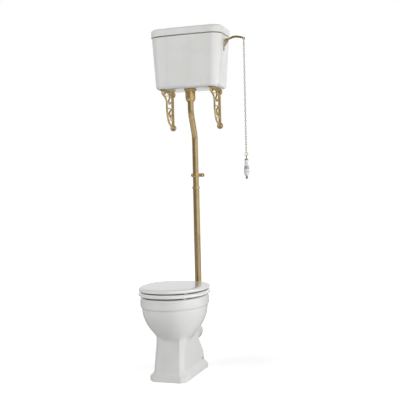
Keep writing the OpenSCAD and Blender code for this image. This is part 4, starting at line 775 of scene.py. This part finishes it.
# Handled brass: the lever, its pin, the bolts, and the handle's cap and finial
# have lost their lacquer and are browned by fingers and damp air.
browned = polished_brass("browned_brass", "#A08350", "#BD9C66", 0.26, 0.36)[0]
lever.data.materials.append(browned)
for node in ("fulcrum_bolts", "lever_pin", "handle_cap", "handle_finial"):
    finish_node(node, browned)
# The plate is rolled strip, brushed flat, so it looks pale and even.
strap = polished_brass("pale_strap_brass", "#D9C59B", "#E9DAB6", 0.3, 0.4)[0]
finish_node("fulcrum_plate", strap)
# The links are thinly plated and worn, so they look greyer than the castings.
worn_plate = polished_brass("worn_plated_brass", "#BDB4A0", "#D0C9B8", 0.28, 0.36)[0]
for node in ("chain_hook", "pull_chain", "handle_ring"):
    finish_node(node, worn_plate)
finish_node("fulcrum_nuts", steel)

# Turned and glazed china grip, with one plain grey band round its middle. Its
# profile is rows of [share of the radius, share of the way up], then its bore.
GRIP_X, GRIP_TOP, GRIP_L, GRIP_R, ROD_HOLE = PIVOT_X + LEVER_OUT, 1146.24, 92.0, 15.5, 2.8
BAND_LOW, BAND_HIGH = 1095.0, 1113.0
share, up = np.transpose([
    [0.30, 0], [0.48, 0.01], [0.60, 0.03], [0.72, 0.07], [0.83, 0.13], [0.93, 0.20], [0.99, 0.27],
    [1, 0.33], [0.98, 0.40], [0.92, 0.48], [0.84, 0.56], [0.76, 0.64], [0.70, 0.72],
    [0.67, 0.80], [0.67, 0.87], [0.69, 0.93], [0.70, 0.965], [0.68, 0.985], [0.60, 1]])
fine = np.concatenate([[0], np.linspace(0.01, 0.985, 60), [1]])
grip_r = np.concatenate([[ROD_HOLE], np.interp(fine, up, share) * GRIP_R, [ROD_HOLE]])
grip_z = GRIP_TOP - GRIP_L + GRIP_L * np.concatenate([[0], fine, [1]])
sweep = round_angles(64)[None, :]
grip_rings = np.stack([GRIP_X + column(grip_r) * np.cos(sweep),
                       y_at(OUTLET_D) + column(grip_r) * np.sin(sweep),
                       column(grip_z) + 0 * sweep], -1)
grip = piece("pull_handle_china", "handle", [(grip_rings, True, False)], ["pull_handle"])


def turned_glaze(name, dark, pale):
    """Glaze on turned china, thin and even, flecked between two colours in specks of
    about 7 mm, which are so faint that it looks plain."""
    made, tree, shader, place = new_material(
        name, Roughness=0.34, IOR=1.5, Coat_Weight=0.6, Coat_Roughness=0.08, Coat_IOR=1.5)
    fleck = add_node(tree, "ShaderNodeTexNoise", {"Scale": 150.0, "Detail": 2.0},
                     {"Vector": (place, "Object")})
    shade = add_node(tree, "ShaderNodeValToRGB", (), {"Fac": (fleck, "Fac")})
    shade.color_ramp.elements[0].color = linear(dark)
    shade.color_ramp.elements[1].color = linear(pale)
    tree.links.new(shade.outputs["Color"], shader.inputs["Base Color"])
    return made


grip.data.materials.append(turned_glaze("white_turned_glaze", "#DADBD8", "#E3E4E1"))
grip.data.materials.append(turned_glaze("grey_banded_glaze", "#A3A5A1", "#B2B4B0"))
heights = face_heights(grip)
in_grey_band = (heights > BAND_LOW) & (heights < BAND_HIGH)
grip.data.polygons.foreach_set("material_index", in_grey_band.astype(np.int32))


# ---- Studio --------------------------------------------------------------
# Plain white floor and backdrop. The light comes softly from the right, and
# metal shows a room that is bright there and behind it, and darker elsewhere.

world = bpy.data.worlds.new("studio")
world.use_nodes = True
bpy.context.scene.world = world


def seen_directly(tree, gloss=1.0):
    """1 for rays from the camera and through glass, gloss for those off a shiny
    surface, 0 for the rest."""
    rays = add_node(tree, "ShaderNodeLightPath")
    shine = add_node(tree, "ShaderNodeMath", {"operation": "MULTIPLY"})
    shine.inputs[1].default_value = gloss
    tree.links.new(rays.outputs["Is Glossy Ray"], shine.inputs[0])
    first = add_node(tree, "ShaderNodeMath", {"operation": "MAXIMUM"})
    tree.links.new(rays.outputs["Is Camera Ray"], first.inputs[0])
    tree.links.new(shine.outputs[0], first.inputs[1])
    both = add_node(tree, "ShaderNodeMath", {"operation": "MAXIMUM"})
    tree.links.new(first.outputs[0], both.inputs[0])
    tree.links.new(rays.outputs["Is Transmission Ray"], both.inputs[1])
    return rays, both


ROOM_LEVEL, ROOM_DARK, LOBE_START = 0.2, 0.27, 0.2
tree = world.node_tree
backdrop = tree.nodes["Background"]
rays, direct = seen_directly(tree)
# Tone of the room by direction; the camera itself always sees white.
way = add_node(tree, "ShaderNodeTexCoord")


def lobe(towards, high):
    """Tone that rises from dark to high as rays turn to a direction: the smoothstep
    of the cosine of the angle between them."""
    near = add_node(tree, "ShaderNodeVectorMath", {"operation": "DOT_PRODUCT"})
    near.inputs[1].default_value = towards
    tree.links.new(way.outputs["Generated"], near.inputs[0])
    return add_node(tree, "ShaderNodeMapRange", {
        "interpolation_type": "SMOOTHSTEP", "From Min": LOBE_START, "From Max": 1.0,
        "To Min": ROOM_DARK, "To Max": high}, {"Value": (near, "Value")})


right_side = lobe((0.966, -0.26, 0), 0.95)
behind = lobe((-0.33, 0.94, 0), 0.88)
tone = add_node(tree, "ShaderNodeMath", {"operation": "MAXIMUM"})
tree.links.new(right_side.outputs["Result"], tone.inputs[0])
tree.links.new(behind.outputs["Result"], tone.inputs[1])
level = add_node(tree, "ShaderNodeMapRange", {"To Min": ROOM_LEVEL, "To Max": 1.0},
                 {"Value": (direct, "Value")})
room = add_node(tree, "ShaderNodeMath", {"operation": "MULTIPLY"})
tree.links.new(level.outputs["Result"], room.inputs[0])
tree.links.new(tone.outputs[0], room.inputs[1])
white = add_node(tree, "ShaderNodeMath", {"operation": "MAXIMUM"})
tree.links.new(room.outputs[0], white.inputs[0])
tree.links.new(rays.outputs["Is Camera Ray"], white.inputs[1])
tree.links.new(white.outputs[0], backdrop.inputs["Strength"])
backdrop.inputs["Color"].default_value = (1, 1, 1, 1)

FLOOR = 9.0
floor_mesh = bpy.data.meshes.new("floor")
floor_mesh.from_pydata([(-FLOOR, -FLOOR, 0), (FLOOR, -FLOOR, 0), (FLOOR, FLOOR, 0),
                        (-FLOOR, FLOOR, 0)], [], [(0, 1, 2, 3)])
floor = bpy.data.objects.new("floor", floor_mesh)
bpy.context.scene.collection.objects.link(floor)
# Seamless paper: its own white glows to the camera, and a tenth as much in
# reflections, so that it meets the backdrop and still darkens under the object.
paper, tree, shader, place = new_material("seamless_paper", Roughness=0.9)
shader.inputs["Base Color"].default_value = linear("#F2F2F2")
shader.inputs["Emission Color"].default_value = (1, 1, 1, 1)
rays, direct = seen_directly(tree, 0.1)
far = add_node(tree, "ShaderNodeVectorMath", {"operation": "LENGTH"},
               {"Vector": (place, "Object")})
fade = add_node(tree, "ShaderNodeMapRange", {
    "From Min": 0.4, "From Max": 2.2, "To Min": 0.62, "To Max": 1.0}, {"Value": (far, "Value")})
glow = add_node(tree, "ShaderNodeMath", {"operation": "MULTIPLY"})
tree.links.new(direct.outputs[0], glow.inputs[0])
tree.links.new(fade.outputs["Result"], glow.inputs[1])
tree.links.new(glow.outputs[0], shader.inputs["Emission Strength"])
floor_mesh.materials.append(paper)


def soft_box(name, place, aim, size, power):
    """Square studio lamp at place, turned to face aim. Shiny surfaces don't show it:
    they show the room instead."""
    lamp = bpy.data.lights.new(name, "AREA")
    lamp.size = size
    lamp.energy = power
    made = bpy.data.objects.new(name, lamp)
    made.visible_glossy = False
    bpy.context.scene.collection.objects.link(made)
    towards = np.array(aim, float) - np.array(place, float)
    made.matrix_world = Matrix.Translation(place) @ Vector(towards).to_track_quat(
        "-Z", "Y").to_matrix().to_4x4()


# Four wide soft boxes, the strongest low on the right.
BOX_SIZE, BOX_AIM = 2.6, (0, 0, 0.95)
for name, stand, power in (
        ("side_lamp", (4.2, 0.4, 0.7), 126), ("key_lamp", (3.4, -3.2, 1.6), 53),
        ("fill_lamp", (-2.6, -3.0, 3.0), 94), ("top_lamp", (0.5, -1.8, 4.6), 16)):
    soft_box(name, stand, BOX_AIM, BOX_SIZE, power)

# Camera fitted to the photograph: placed by its own turn, tilt and roll.
CAM_AT = (1.410, WALL_Y / 1000 - 4.078, 0.989)
CAM_YAW, CAM_PITCH, CAM_ROLL = 0.3307, -0.01462, -0.02399
CAM_FOCAL_PX, PHOTO_PX, SENSOR = 740.0, 400.0, 36.0
forward = np.array([-math.sin(CAM_YAW) * math.cos(CAM_PITCH),
                    math.cos(CAM_YAW) * math.cos(CAM_PITCH), math.sin(CAM_PITCH)])
level_right = np.array([math.cos(CAM_YAW), math.sin(CAM_YAW), 0.0])
level_up = np.cross(level_right, forward)
cam_right = level_right * math.cos(CAM_ROLL) + level_up * math.sin(CAM_ROLL)
cam_up = level_up * math.cos(CAM_ROLL) - level_right * math.sin(CAM_ROLL)
lens = bpy.data.cameras.new("photograph")
lens.sensor_width = SENSOR
lens.lens = SENSOR * CAM_FOCAL_PX / PHOTO_PX
lens.clip_start, lens.clip_end = 0.05, 60.0
camera = bpy.data.objects.new("photograph", lens)
bpy.context.scene.collection.objects.link(camera)
turned = np.eye(4)
turned[:3, 0], turned[:3, 1], turned[:3, 2], turned[:3, 3] = cam_right, cam_up, -forward, CAM_AT
camera.matrix_world = Matrix(turned.tolist())
bpy.context.scene.camera = camera
bpy.context.scene.view_settings.view_transform = "Standard"
